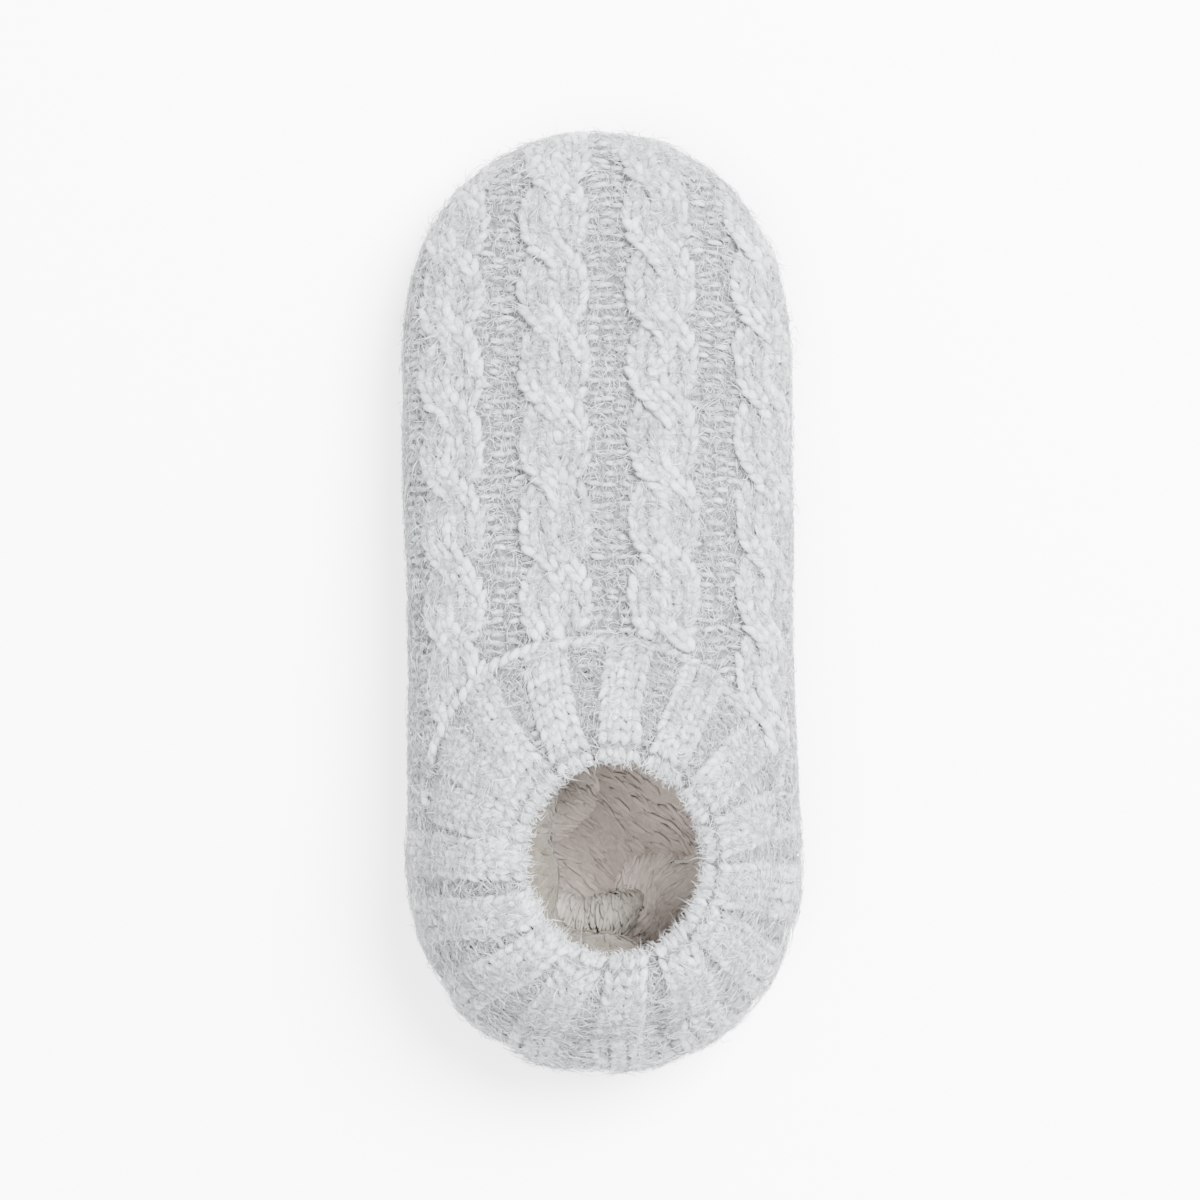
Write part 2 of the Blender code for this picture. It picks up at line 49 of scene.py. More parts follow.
UP = np.array([0.0, 0.0, 1.0])
MIDDLE_HEIGHT = 25.0
EVERYTHING = slice(None)
EVERY_SECOND = np.s_[::2, ::2]

# Knitted foot
TOE_END = 124.5
HEEL_END = -124.5
TOE_CAP_START = 64.0
HEEL_CAP_START = -66.0
OUTLINE_POWER = 2.2
DOME_POWER = 2.3
TUCK_POWER = 0.55
FOOT_RATIO = 0.88
KNIT_WALL = 3.0
LAST_COLUMNS = ("along", "half_width", "crest", "widest_level")
LAST = (
    (-125.5, 51.6, 64.0, 27.0),
    (-66.0, 51.8, 67.0, 26.0),
    (-5.0, 50.8, 61.5, 25.0),
    (30.0, 51.4, 54.5, 24.0),
    (64.0, 51.4, 48.5, 22.5),
    (124.5, 51.0, 45.5, 22.0),
)

# Cables
CABLE_SPACING = 28.0
CABLE_SHIFT = 4.5
CABLE_SIDES = (-1.5, -0.5, 0.5, 1.5)
CROSSING = 20.5
STRAND_HALF_WIDTH = 5.3
STRAND_SWING = 4.3
STRAND_RISE = 2.5
STRAND_DIVE = 1.0
TOE_GATHER = 0.14
CABLES_FADE_FROM = -30.0
CABLES_FADE_TO = -58.0
CABLES_CLEAR_OF_SOLE = 10.0
TOE_FADE_FROM = 18.0
TOE_FADE_TO = 2.0
TOE_SHORTENING = 0.5

# Top line and cuff
TOP_LINE_CENTRE = (0.0, -62.0)
TOP_LINE_HALF_WIDTH = 46.0
TOP_LINE_HALF_LENGTH = 53.5
TOP_LINE_POWER = 2.4
RIM_CENTRE = (5.0, -66.0)
RIM_HALF_WIDTH = 25.5
RIM_HALF_LENGTH = 28.0
RIM_HEIGHT = 76.0
RIM_RISE_TO_FRONT = 1.5
CUFF_WALL = 3.4
CUFF_LEAVES = 0.42
CUFF_ARRIVES = 0.38
HEM_ROLL = 1.9
HEM_PLACE = 0.05
HEM_WIDTH = 0.045
HEM_AT_BACK = 0.2
VALLEY_DEPTH = 1.3
RIB_GROWS_FROM = 0.05
RIB_GROWS_TO = 0.3
RIB_SHRINKS = 0.3
RIB_START_AT_BACK = 0.6
RIB_SWELL = 1.15
Rib = namedtuple("Rib", "at_top_line at_rim half_angle rise")
RIBS = (
    Rib(6.0, 9.0, 12.0, 2.3),
    Rib(31.0, 34.0, 12.0, 2.6),
    Rib(56.0, 60.0, 11.5, 2.8),
    Rib(79.0, 86.0, 11.5, 3.0),
    Rib(104.0, 112.0, 11.5, 3.0),
    Rib(127.0, 134.0, 11.0, 2.8),
    Rib(148.0, 147.0, 9.5, 2.5),
    Rib(166.0, 163.0, 9.0, 2.2),
    Rib(185.0, 181.0, 9.5, 2.3),
    Rib(205.0, 209.0, 10.5, 2.5),
    Rib(228.0, 231.0, 11.0, 2.7),
    Rib(251.0, 252.0, 11.5, 2.8),
    Rib(274.0, 276.0, 11.5, 2.8),
    Rib(297.0, 303.0, 11.0, 2.6),
    Rib(319.0, 324.0, 11.0, 2.4),
    Rib(342.0, 345.0, 11.5, 2.3),
)
NEXT_RIBS = RIBS[1:] + RIBS[:1]

# Ribs of the heel, which begin behind the middle of the top line
HEEL_RIB_RISE = 3.4
HEEL_RIB_START = 0.55
HEEL_BEGINS = TOP_LINE_CENTRE[1] + 4.0
HEEL_IS_FULL = TOP_LINE_CENTRE[1] - 6.0

# Sole and footbed
SOLE_THICKNESS = 5.0
SOLE_RATIO = 0.905
SOLE_EDGE = 2.2
MOST_ROUNDED = 0.45
ARCH_RISE = 1.5
ARCH_FROM = -40.0
ARCH_TO = 22.0
TOE_SPRING = 5.0
TOE_SPRING_FROM = 74.0
HEEL_SPRING = 2.0
HEEL_SPRING_FROM = -98.0
INSOLE_THICKNESS = 5.0
INSOLE_CLEARANCE = 0.6
BED_SWELL = 3.0
BED_EDGE = 1.0

# Grids of the looks
SECTION_SAMPLES = 90
FOOT_COLUMNS = 128
FOOT_ROWS = (52, 101)
BAND_PLACES = (80, 60)
BAND_GRID = (175, 9)
OUTLINE_SEARCH = (40.0, 400)
SOLE_ROWS = (36, 70)
CUFF_SPOKES = 240
CUFF_ROWS = 36
LINE_POINTS = 60
LINING_GRID = 60
LINING_ROWS = (24, 60)
FOOTBED_COLUMNS = 131

# Depth of walls, stitches and the roots of hairs under the surface that the stitches make up
FOOT_WALL_SINK = 0.55
FOOT_STITCH_SINK = 0.3
CUFF_WALL_SINK = 0.5
CUFF_STITCH_SINK = 0.25
HAIR_SINK = -0.3
RIM_HAIR_SINK = 0.1
HAIR_LIFT = 0.35
HEEL_HAIR_LIFT = 0.7
UNDER_CUFF_SINK = 1.6
RELIEF_UNDER_STITCHES = 0.9
FOOT_WALL = 1.6
WELD_DISTANCE = 0.005

# Stitches: length, width and height of one leg of a knit stitch in each place, and of one purl bar
KNIT_LEG = (5.2, 2.4, 1.9)
CABLE_LEG = (6.0, 2.7, 2.0)
RIM_LEG = (4.2, 2.1, 1.7)
SEAM_LEG = (5.4, 2.5, 2.2)
PURL_BAR = (4.9, 1.6, 1.5)
KNIT_ROW = 3.1
KNIT_SLANT = 20.0
KNIT_BEND = 0.25
KNIT_SAG = 0.8
PURL_ROW = 2.8
PURL_COLUMN = 3.7
PURL_SAG = 0.55
RIB_COLUMN = 4.4
RIB_NARROWS = 1.3
CABLE_COLUMN = 5.1
CABLE_OVER = 0.45
CABLE_LIFT = 0.35
RIB_LIFT = 0.3
GROUND_LIFT = 0.2
BAND_SINK = 0.3
VALLEY_NARROWS = 0.8
# Painted shade: purl bars are darker in the lanes beside the cables, and more so in the valleys of the cuff
# and the heel
GROUND_SHADE = 0.2
VALLEY_SHADE = 0.4
HEEL_VALLEY_SHADE = 0.6
HEM_SHARE = 0.06
OUTSIDE_TOP_LINE = 1.01

# Unevenness of the stitches: share of their size, jitter in each place and wander of the purl columns
STITCH_SIZES = (0.82, 1.18)
CABLE_JITTER = 0.24
PURL_JITTER = 0.26
RIB_JITTER = 0.17
SEAM_JITTER = 0.2
PURL_WANDER = 0.7

# Unevenness of surfaces and of the flow of pile: its length, and its amount in millimetres or degrees
FOOT_WAVER = (9.0, 0.5)
LIP_WAVER = (13.0, 2.0)
FOLD_WAVER = (7.0, 1.5)
CLUMP_WAVER = (13.0, 6.0)
BED_FLOW_WAVER = (16.0, 25.0)
LIP_FLOW_WAVER = (12.0, 30.0)
FOLD_FLOW_WAVER = (10.0, 50.0)

# Stitches over the rim: how far round its roll each row lies
RIM_ROWS = (0.15 * math.pi, 0.4 * math.pi, 0.65 * math.pi, 0.9 * math.pi)

# Seam: number of stitches all round, how far to the front they show, and how they lie
SEAM_COUNT = 118
SEAM_SHOWN_FROM = 0.42
SEAM_SLANT = 28.0
SEAM_SAG = 0.6
SEAM_SINK = -0.4
SEAM_RISES = (95.0, 115.0)

# One stitch leg or pile lock: place along it and thickness of each ring of points
LEAF_RINGS = ((-0.3, 0.78), (0.02, 1.0), (0.32, 0.72))
LEAF_SIDES = 6
# Painted shade: each leg or lock is darker towards its ends, where it dips under its neighbours
LEAF_END_SHADE = 0.45
LEAF_TONES = (0.45, 1.0)

# Tones: the lowest, and what a share of 1 adds
# Painted shade: the foot's wall is darker in the lanes and valleys and lighter under the cables
FOOT_RELIEF_SHADE = (0.05, 0.3)
# Painted shade: the cuff's wall is darker in the valleys between its ribs
CUFF_RIB_SHADE = (0.02, 0.35)
CUFF_INSIDE_TONE = 0.15
# Painted shade: the footbed is darker in the hollows between its clumps
BED_CLUMP_SHADE = (0.25, 0.5)
BED_UNDER_TONE = 0.4
# The footbed under the opening is painted darker as shade of the slipper's inside; far in towards the toe
# this lifts it to the pile's own lighter colour
BED_FAR_IN_TONE = 1.5
# Painted shade: lip, folds and linings are darker in the hollows between their clumps
PLUSH_CLUMP_SHADE = (0.35, 0.4)
LINING_CLUMP_SHADE = (0.2, 0.7)
LINING_OUTER_TONE = 0.3
SOLE_TONE = 0.5
# Painted shade: the lip is darker towards its lower edge, deeper in the slipper
LIP_SHADE = 0.5
# Painted shade: the folds are darker on their steep sides
FOLD_SHADE = 0.2

# Plush pile: its main direction, its locks, and how far from the middle of the opening the footbed shows
PILE_DIRECTION = (0.75, -0.66)
PILE_LOCK = (8.0, 1.5, 0.9)
PILE_SAG = 0.4
PILE_JITTER = 0.3
PILE_SINK = 0.25
FOLD_LOCK = (6.5, 1.2, 0.8)
FOLD_SAG = 0.5
BED_LOCKS = 1500
LIP_LOCKS = 1500
FOLD_LOCKS = 750
SEEN_RADIUS = 44.0
BED_CLUMPS = 1.7
LIP_CLUMPS = 1.6
FOLD_CLUMPS = 1.5

# Plush lining that hangs under the rim: how far it stands in past the rim's line, and how deep it hangs
LINING_COLUMNS = ("angle", "reach", "depth")
LINING = (
    (0.0, -1.0, 10.0),
    (45.0, -1.0, 6.0),
    (100.0, -1.0, 8.0),
    (122.0, 1.0, 18.0),
    (140.0, 4.5, 26.0),
    (165.0, 7.5, 28.0),
    (185.0, 9.0, 30.0),
    (203.0, 7.5, 30.0),
    (228.0, 2.5, 30.0),
    (250.0, 5.0, 30.0),
    (266.0, 6.0, 30.0),
    (284.0, 3.0, 30.0),
    (310.0, 0.0, 24.0),
    (335.0, -1.0, 14.0),
    (360.0, -1.0, 10.0),
)
LINING_TOP = (0.1, 0.6)
LINING_TOP_ROW = 0.66
LINING_STEPS = 5

# Section of the hanging lining: share of the reach, distance further in and share of the depth
LINING_SECTION = (
    (0.55, 0.0, 0.28),
    (1.0, 0.0, 0.62),
    (0.9, -0.5, 0.9),
    (0.8, -2.0, 1.0),
    (0.75, -4.0, 0.95),
)

# Lining inside the foot and under the cuff
LINING_CLEARANCE = 0.4
LINING_WALL = 0.8
LINING_END = 0.05
CUFF_LINING_SPOKES = 144
CUFF_LINING_SHARES = (-0.08, 0.97, 26)

# Folds of the lining that lie on the footbed, with the bend of their ends and the flow of their pile
Fold = namedtuple("Fold", "material middle half_sizes bend flow")
FOLDS = {
    # The folds' materials are copies of the plush: plush_fold darkened as painted shade, plush_heel lighter
    # as painted light where the rim shades them
    "fold_left": Fold("plush_fold", (-4.0, -87.5, 15.0), (14.0, 7.0, 7.5), 7.0, (0.3, 0.9)),
    "fold_right": Fold("plush_heel", (20.0, -84.0, 9.0), (21.0, 17.0, 9.0), 4.0, (0.5, 0.8)),
    "fold_front": Fold("plush_heel", (-20.0, -48.0, 9.0), (20.0, 20.0, 9.0), 0.0, PILE_DIRECTION),
}
FOLD_BOTTOM = 8.0
FOLD_POINTS = (90, 44)

# Hairs never come closer to the floor than this
FLOOR_CLEARANCE = 0.4

# Floor, lights and camera, in metres, watts and degrees
FLOOR_HALF = 3.0
FLOOR_COLOUR = (0.93, 0.93, 0.93, 1.0)
FLOOR_ROUGHNESS = 0.9
LIGHT_SIZE = 1.0
LIGHTS = {"key": ((0.75, 0.55, 1.6), 280.0), "fill": ((-0.3, -0.5, 2.0), 100.0)}
WORLD_STRENGTH = 3.0
CAMERA_PLACE = (0.054, 0.0, 1.095)
CAMERA_TARGET = (0.0, 0.0, 0.025)
CAMERA_ROLL = 1.1
CAMERA_LENS = 120.0
CAMERA_SENSOR = 36.0

random = np.random.default_rng(7)
LATTICE = np.random.default_rng(3).uniform(0.0, 1.0, (24, 24, 24))


# Form of the foot and the cuff
def smooth_step(value, start, end):
    """0 before start, 1 after end, and a soft S between."""
    share = np.clip((np.asarray(value, float) - start) / (end - start), 0.0, 1.0)
    return share * share * (3.0 - 2.0 * share)


def from_table(table, columns, name, place):
    """A column of a table at any places, on a smooth curve through its rows."""
    rows = np.array(table)
    places = rows[:, 0]
    values = rows[:, columns.index(name)]
    slopes = np.gradient(values, places)
    row = np.clip(np.searchsorted(places, place) - 1, 0, len(places) - 2)
    span = places[row + 1] - places[row]
    share = (place - places[row]) / span
    rise = values[row + 1] - values[row]
    bend = (slopes[row] * span - rise) * (1 - share) + (rise - slopes[row + 1] * span) * share
    return values[row] + share * rise + share * (1 - share) * bend


def last(name, along):
    return from_table(LAST, LAST_COLUMNS, name, along)


def spring(along):
    """How far the sole lifts off the floor at the toe and behind the heel."""
    toe = np.maximum(0.0, (along - TOE_SPRING_FROM) / (TOE_END - TOE_SPRING_FROM))
    heel = np.maximum(0.0, (HEEL_SPRING_FROM - along) / (HEEL_SPRING_FROM - HEEL_END))
    return TOE_SPRING * toe**2 + HEEL_SPRING * heel**2


def arch(along):
    share = np.clip((along - ARCH_FROM) / (ARCH_TO - ARCH_FROM), 0.0, 1.0)
    return ARCH_RISE * 0.5 * (1 - np.cos(2 * math.pi * share))


def sole_top(along):
    return SOLE_THICKNESS + spring(along)


def cap(along):
    """How far places lie inside the toe or heel cap, and the length of that cap."""
    toe_length = TOE_END - TOE_CAP_START
    heel_length = HEEL_CAP_START - HEEL_END
    past = np.maximum(0.0, np.maximum(along - TOE_CAP_START, HEEL_CAP_START - along))
    return past, np.where(along < HEEL_CAP_START, heel_length, toe_length)


def outline(along, ratio, inset):
    """Half width of the plan outline, drawn in by a ratio and then by a distance."""
    past, length = cap(along)
    fullness = 1 - np.minimum(1.0, past / (ratio * length - inset)) ** OUTLINE_POWER
    return (ratio * last("half_width", along) - inset) * fullness ** (1 / OUTLINE_POWER)


def outline_end(ratio, inset, toe):
    if toe:
        return TOE_CAP_START + ratio * (TOE_END - TOE_CAP_START) - inset
    return HEEL_CAP_START - ratio * (HEEL_CAP_START - HEEL_END) + inset


def cap_places(start, end, count):
    return start + (end - start) * np.sin(np.linspace(0.0, math.pi / 2, count))


def outline_places(ratio, inset, cap_count, middle_count, short=0.0):
    """Places along an outline, closer together towards its ends, and a little short of them if wanted."""
    heel = cap_places(HEEL_CAP_START, outline_end(ratio, inset, False) + short, cap_count)[::-1]
    middle = np.linspace(HEEL_CAP_START, TOE_CAP_START, middle_count)[1:-1]
    toe = cap_places(TOE_CAP_START, outline_end(ratio, inset, True) - short, cap_count)
    return np.concatenate([heel, middle, toe])


def dome(x, along, inset=0.0):
    """Height of the foot's surface above points inside its widest outline."""
    past, length = cap(along)
    wide = last("half_width", along) - inset
    inside = (np.abs(x) / wide) ** OUTLINE_POWER + (past / (length - inset)) ** OUTLINE_POWER
    reach = np.minimum(1.0, inside) ** (DOME_POWER / OUTLINE_POWER)
    widest = last("widest_level", along)
    return widest + (last("crest", along) - inset - widest) * (1 - reach) ** (1 / DOME_POWER)


def side_height(along, fall):
    """Height of the wall below the widest outline, at shares of its fall to the sole."""
    widest = last("widest_level", along)
    return widest - (widest - sole_top(along) - GAP) * fall**TUCK_POWER


def section_grid(places, inset, columns):
    """Cross-sections of the foot as rows of evenly spaced points, left edge on the sole to right edge."""
    along = places[:, None]
    past, length = cap(along)
    turn = np.linspace(0.0, math.pi / 2, SECTION_SAMPLES)[None]
    x_above = outline(along, 1.0, inset) * np.sin(turn)
    z_above = dome(x_above, along, inset)
    z_above[:, -1] = last("widest_level", places)
    foot_length = FOOT_RATIO * length - inset
    tip_share = np.clip((past - foot_length) / (length - inset - foot_length), 0.0, 1.0)
    shares = 1 + (tip_share - 1) * np.linspace(0.0, 1.0, SECTION_SAMPLES)[None]
    x_below = outline(along, FOOT_RATIO + (1 - FOOT_RATIO) * shares, inset)
    x_below[tip_share[:, 0] > 0, -1] = 0.0
    z_below = side_height(along, 1 - shares)
    x = np.concatenate([x_above, x_below[:, 1:]], axis=1)
    z = np.concatenate([z_above, z_below[:, 1:]], axis=1)
    steps = np.hypot(np.diff(x, axis=1), np.diff(z, axis=1))
    walked = np.concatenate([np.zeros((len(places), 1)), np.cumsum(steps, axis=1)], axis=1)
    spread = np.linspace(-1.0, 1.0, columns + 1)
    grid = np.empty((len(places), columns + 1, 3))
    for row, place in enumerate(places):
        distance = np.abs(spread) * walked[row, -1]
        grid[row, :, 0] = np.interp(distance, walked[row], x[row]) * np.sign(spread)
        grid[row, :, 1] = place
        grid[row, :, 2] = np.interp(distance, walked[row], z[row])
    return grid


def strand_phase(forward, strand):
    return math.pi * (forward / CROSSING + strand)


def strand_swing(forward, strand):
    """How far a strand lies off the centre line: it stays at one side, then crosses within a few rows."""
    side = np.cos(strand_phase(forward, strand))
    return STRAND_SWING * side * (1.5 - 0.5 * side**2)


def strand_height(off_centre, forward, strand):
    reach = (off_centre - strand_swing(forward, strand)) / STRAND_HALF_WIDTH
    bulge = np.sqrt(np.clip(1 - reach**2, 0.0, 1.0))
    return (STRAND_RISE + STRAND_DIVE * np.sin(strand_phase(forward, strand))) * bulge


def cable_height(off_centre, forward):
    """Height of a two-strand cable at distances from its centre line."""
    return np.maximum(strand_height(off_centre, forward, 0), strand_height(off_centre, forward, 1))


def pattern_place(points, along):
    """Where points of one section lie in the knit: distance across from the crest and along to the toe."""
    past, length = cap(along)
    turn = np.linspace(0.0, math.pi / 2, SECTION_SAMPLES)
    straight_x = last("half_width", along) * np.sin(turn)
    widest = last("widest_level", along)
    reach = np.sin(turn) ** DOME_POWER
    straight_z = widest + (last("crest", along) - widest) * (1 - reach) ** (1 / DOME_POWER)
    walked = np.concatenate([[0.0], np.cumsum(np.hypot(np.diff(straight_x), np.diff(straight_z)))])
    gather = 1 - (TOE_GATHER * (past / length) ** 2 if along > 0 else 0.0)
    side_share = outline(along, 1.0, 0.0) / last("half_width", along)
    below = np.clip(widest - points[:, 2], 0.0, None)
    x_open = np.abs(points[:, 0]) / gather
    across = np.interp(x_open, straight_x, walked) + side_share * below
    drop = np.interp(x_open, straight_x, straight_z) - np.maximum(points[:, 2], widest)
    drop = np.clip(drop, 0.0, None) + (1 - side_share) * below
    forward = along + np.where(along > TOE_CAP_START, drop - TOE_SHORTENING * np.minimum(past, drop), 0.0)
    return across * np.sign(points[:, 0]), forward


def relief_fade(points, along):
    """Share of their full height that the cables have at points of one section."""
    fade = smooth_step(points[:, 2] - sole_top(along), GAP, CABLES_CLEAR_OF_SOLE)
    if along > TOE_CAP_START:
        above_widest = points[:, 2] - last("widest_level", along)
        fade = fade * smooth_step(above_widest, TOE_FADE_TO, TOE_FADE_FROM)
    return fade * smooth_step(along, CABLES_FADE_TO, CABLES_FADE_FROM)


def ring_reach(angle, half_width, half_length, power):
    """Distance from the centre of a rounded ring to its line at an angle."""
    across = np.abs(np.cos(angle)) / half_width
    lengthwise = np.abs(np.sin(angle)) / half_length
    return (across**power + lengthwise**power) ** (-1 / power)


def top_line_share(points):
    """1 on the top line as seen from above, less inside it."""
    across = np.abs(points[..., 0] - TOP_LINE_CENTRE[0]) / TOP_LINE_HALF_WIDTH
    lengthwise = np.abs(points[..., 1] - TOP_LINE_CENTRE[1]) / TOP_LINE_HALF_LENGTH
    return (across**TOP_LINE_POWER + lengthwise**TOP_LINE_POWER) ** (1 / TOP_LINE_POWER)


def unit(vectors):
    return vectors / np.maximum(np.linalg.norm(vectors, axis=-1, keepdims=True), 1e-9)


def grid_normals(grid):
    """Unit normals of a grid of points, from the differences between neighbours."""
    return unit(np.cross(np.gradient(grid, axis=1), np.gradient(grid, axis=0)))


def ring_normals(ring, repeated=0):
    """Unit normals of a grid whose rows go round. repeated is 1 if its last row repeats the first."""
    end = len(ring) - repeated
    return grid_normals(np.concatenate([ring[end - 1 : end], ring, ring[repeated : repeated + 1]]))[1:-1]


def facing(normals, outward):
    """Normals turned to the side that outward points to."""
    return normals * np.sign((normals * outward).sum(axis=-1, keepdims=True))


def top_line(angle):
    """Points of the top line on the foot, the normals there, and the way up into the cuff."""
    reach = ring_reach(angle, TOP_LINE_HALF_WIDTH, TOP_LINE_HALF_LENGTH, TOP_LINE_POWER)
    x = TOP_LINE_CENTRE[0] + reach * np.cos(angle)
    y = TOP_LINE_CENTRE[1] + reach * np.sin(angle)
    step = 0.05
    slope_x = (dome(x + step, y) - dome(x - step, y)) / (2 * step)
    slope_y = (dome(x, y + step) - dome(x, y - step)) / (2 * step)
    inward = unit(np.stack([RIM_CENTRE[0] - x, RIM_CENTRE[1] - y], axis=-1))
    climb = slope_x * inward[:, 0] + slope_y * inward[:, 1]
    normal = unit(np.stack([-slope_x, -slope_y, np.ones_like(x)], axis=-1))
    upward = unit(np.stack([inward[:, 0], inward[:, 1], climb], axis=-1))
    return np.stack([x, y, dome(x, y)], axis=-1), normal, upward


def rim_point(angle):
    reach = ring_reach(angle, RIM_HALF_WIDTH, RIM_HALF_LENGTH, 2.0)
    x = RIM_CENTRE[0] + reach * np.cos(angle)
    y = RIM_CENTRE[1] + reach * np.sin(angle)
    return np.stack([x, y, RIM_HEIGHT + RIM_RISE_TO_FRONT * np.sin(angle)], axis=-1)


def to_opening(points):
    """Level directions from points to the middle of the opening."""
    return unit((np.array([*RIM_CENTRE, 0.0]) - points) * (1.0, 1.0, 0.0))


def cuff_ground(angles, shares):
    """The cuff's ground between its pleats: one row an angle, from the top line to the crown of the rim."""
    start, _, upward = top_line(angles)
    start = start + GAP * upward
    end = rim_point(angles)
    depth = np.linalg.norm(end - start, axis=-1, keepdims=True)
    outward = start - end
    outward[:, 2] = 0.0
    leave = start + upward * CUFF_LEAVES * depth
    arrive = end + unit(outward) * CUFF_ARRIVES * depth
    share = shares[None, :, None]
    rest = 1 - share
    start, end, leave, arrive = (p[:, None, :] for p in (start, end, leave, arrive))
    return rest**3 * start + 3 * rest**2 * share * leave + 3 * rest * share**2 * arrive + share**3 * end


def turn_between(degrees, centre):
    """Angles between directions and a centre, the short way round."""
    return np.abs((degrees - centre + 180.0) % 360.0 - 180.0)


def halfway(start, end):
    """The angle in the middle of the turn from start on to end."""
    return start + ((end - start) % 360.0) / 2


def spoke(degrees):
    """Row of a round grid at an angle."""
    return (degrees % 360.0) / 360.0 * CUFF_SPOKES


def front_share(angles):
    """1 at the front of the cuff, where a seam shows, and 0 at the back, where its ribs run on."""
    return smooth_step(np.sin(angles), -0.2, 0.2)


def rib_height(angles, shares):
    """Height of the cuff's pleats and of the seam below them."""
    degrees = np.degrees(angles)[:, None]
    share = shares[None]
    front = front_share(angles)[:, None]
    height = np.zeros((len(angles), len(shares)))
    for rib in RIBS:
        centre = rib.at_top_line + (rib.at_rim - rib.at_top_line) * share
        off = turn_between(degrees, centre) / rib.half_angle
        height = np.maximum(height, rib.rise * np.sqrt(np.maximum(0.0, 1 - off * off)))
    grown = smooth_step(share, RIB_GROWS_FROM, RIB_GROWS_TO)
    grown = np.maximum(grown, RIB_START_AT_BACK * (1 - front))
    hem = HEM_ROLL * (HEM_AT_BACK + (1 - HEM_AT_BACK) * front)
    hem = hem * np.exp(-(((share - HEM_PLACE) / HEM_WIDTH) ** 2))
    return height * grown * (1 - RIB_SHRINKS * share) + hem


def behind(points):
    """1 behind the middle of the top line, where the knit is ribbed, and 0 in front."""
    return smooth_step(points[..., 1], HEEL_BEGINS, HEEL_IS_FULL)


def heel_rib_share(points):
    """1 on the middle of a rib that runs on down the heel, 0 in the valleys and in front."""
    degrees = np.degrees(np.arctan2(points[..., 1] - RIM_CENTRE[1], points[..., 0] - RIM_CENTRE[0]))
    height = np.zeros(points.shape[:-1])
    for rib in RIBS:
        off = turn_between(degrees, rib.at_top_line) / rib.half_angle
        height = np.maximum(height, smooth_step(off, 1.0, 0.4))
    return height * behind(points)


def heel_ribs(points, normals):
    """Height of the heel's ribs, low beside the cuff and where the wall turns upright."""
    grown = smooth_step(top_line_share(points), 1.0, 1.15)
    rise = HEEL_RIB_RISE * (HEEL_RIB_START + (1 - HEEL_RIB_START) * grown)
    return rise * heel_rib_share(points) * smooth_step(normals[..., 2], 0.15, 0.7)


# Unevenness, and places on grids
def soft_noise(points, size):
    """Smooth random values between 0 and 1 in space, that change over a distance."""
    place = np.asarray(points) / size
    low = np.floor(place).astype(int)
    share = place - low
    share = share * share * (3.0 - 2.0 * share)
    total = np.zeros(place.shape[:-1])
    for corner in np.ndindex(2, 2, 2):
        weight = np.prod(np.where(np.array(corner) == 1, share, 1 - share), axis=-1)
        index = (low + corner) % len(LATTICE)
        total = total + weight * LATTICE[index[..., 0], index[..., 1], index[..., 2]]
    return total


def waver(points, length, amount):
    """Slow unevenness of hand-made work."""
    return amount * (2.0 * soft_noise(points, length) - 1.0)


def sample(grid, row, column):
    """Values of a grid at places between its points."""
    row = np.clip(row, 0.0, grid.shape[0] - 1.001)
    column = np.clip(column, 0.0, grid.shape[1] - 1.001)
    low_row, low_column = row.astype(int), column.astype(int)
    u = (row - low_row).reshape((-1,) + (1,) * (grid.ndim - 2))
    v = (column - low_column).reshape((-1,) + (1,) * (grid.ndim - 2))
    near = grid[low_row, low_column] * (1 - v) + grid[low_row, low_column + 1] * v
    far = grid[low_row + 1, low_column] * (1 - v) + grid[low_row + 1, low_column + 1] * v
    return near * (1 - u) + far * u


def sample_line(surface, normals, rows, columns):
    return sample(surface, rows, columns), unit(sample(normals, rows, columns))


def spaced(points, step, zero):
    """Places along a line of points, evenly spaced by distance from a zero point of the line."""
    walked = np.concatenate([[0.0], np.cumsum(np.linalg.norm(np.diff(points, axis=0), axis=1))])
    start = walked[zero] % step
    wanted = np.arange(start, walked[-1], step)
    return np.interp(wanted, walked, np.arange(len(points)))


def line_direction(points):
    return unit(np.gradient(points, axis=0))


def turned(along, normals, degrees):
    """Directions turned about the normals."""
    angle = np.radians(degrees)
    return along * np.cos(angle) + np.cross(normals, along) * np.sin(angle)


def along_surface(directions, normals):
    """Unit directions laid into a surface."""
    return unit(directions - normals * (directions * normals).sum(axis=1, keepdims=True))


def tone_of(tone, share):
    lowest, added = tone
    return lowest + added * share


# Materials
Fibre = namedtuple("Fibre", "slot dark light streaks bump roughness lightest")


def knit(dark, light, streaks, bump=0.35):
    return Fibre("knit", dark, light, streaks, bump, 0.95, None)


def plush(dark, light, lightest=None):
    return Fibre("plush", dark, light, (0.9, 0.9, 0.9), 0.4, 1.0, lightest)


def cloth(dark, light):
    return Fibre("sole_cloth", dark, light, (1.4, 1.4, 1.4), 0.3, 0.95, None)


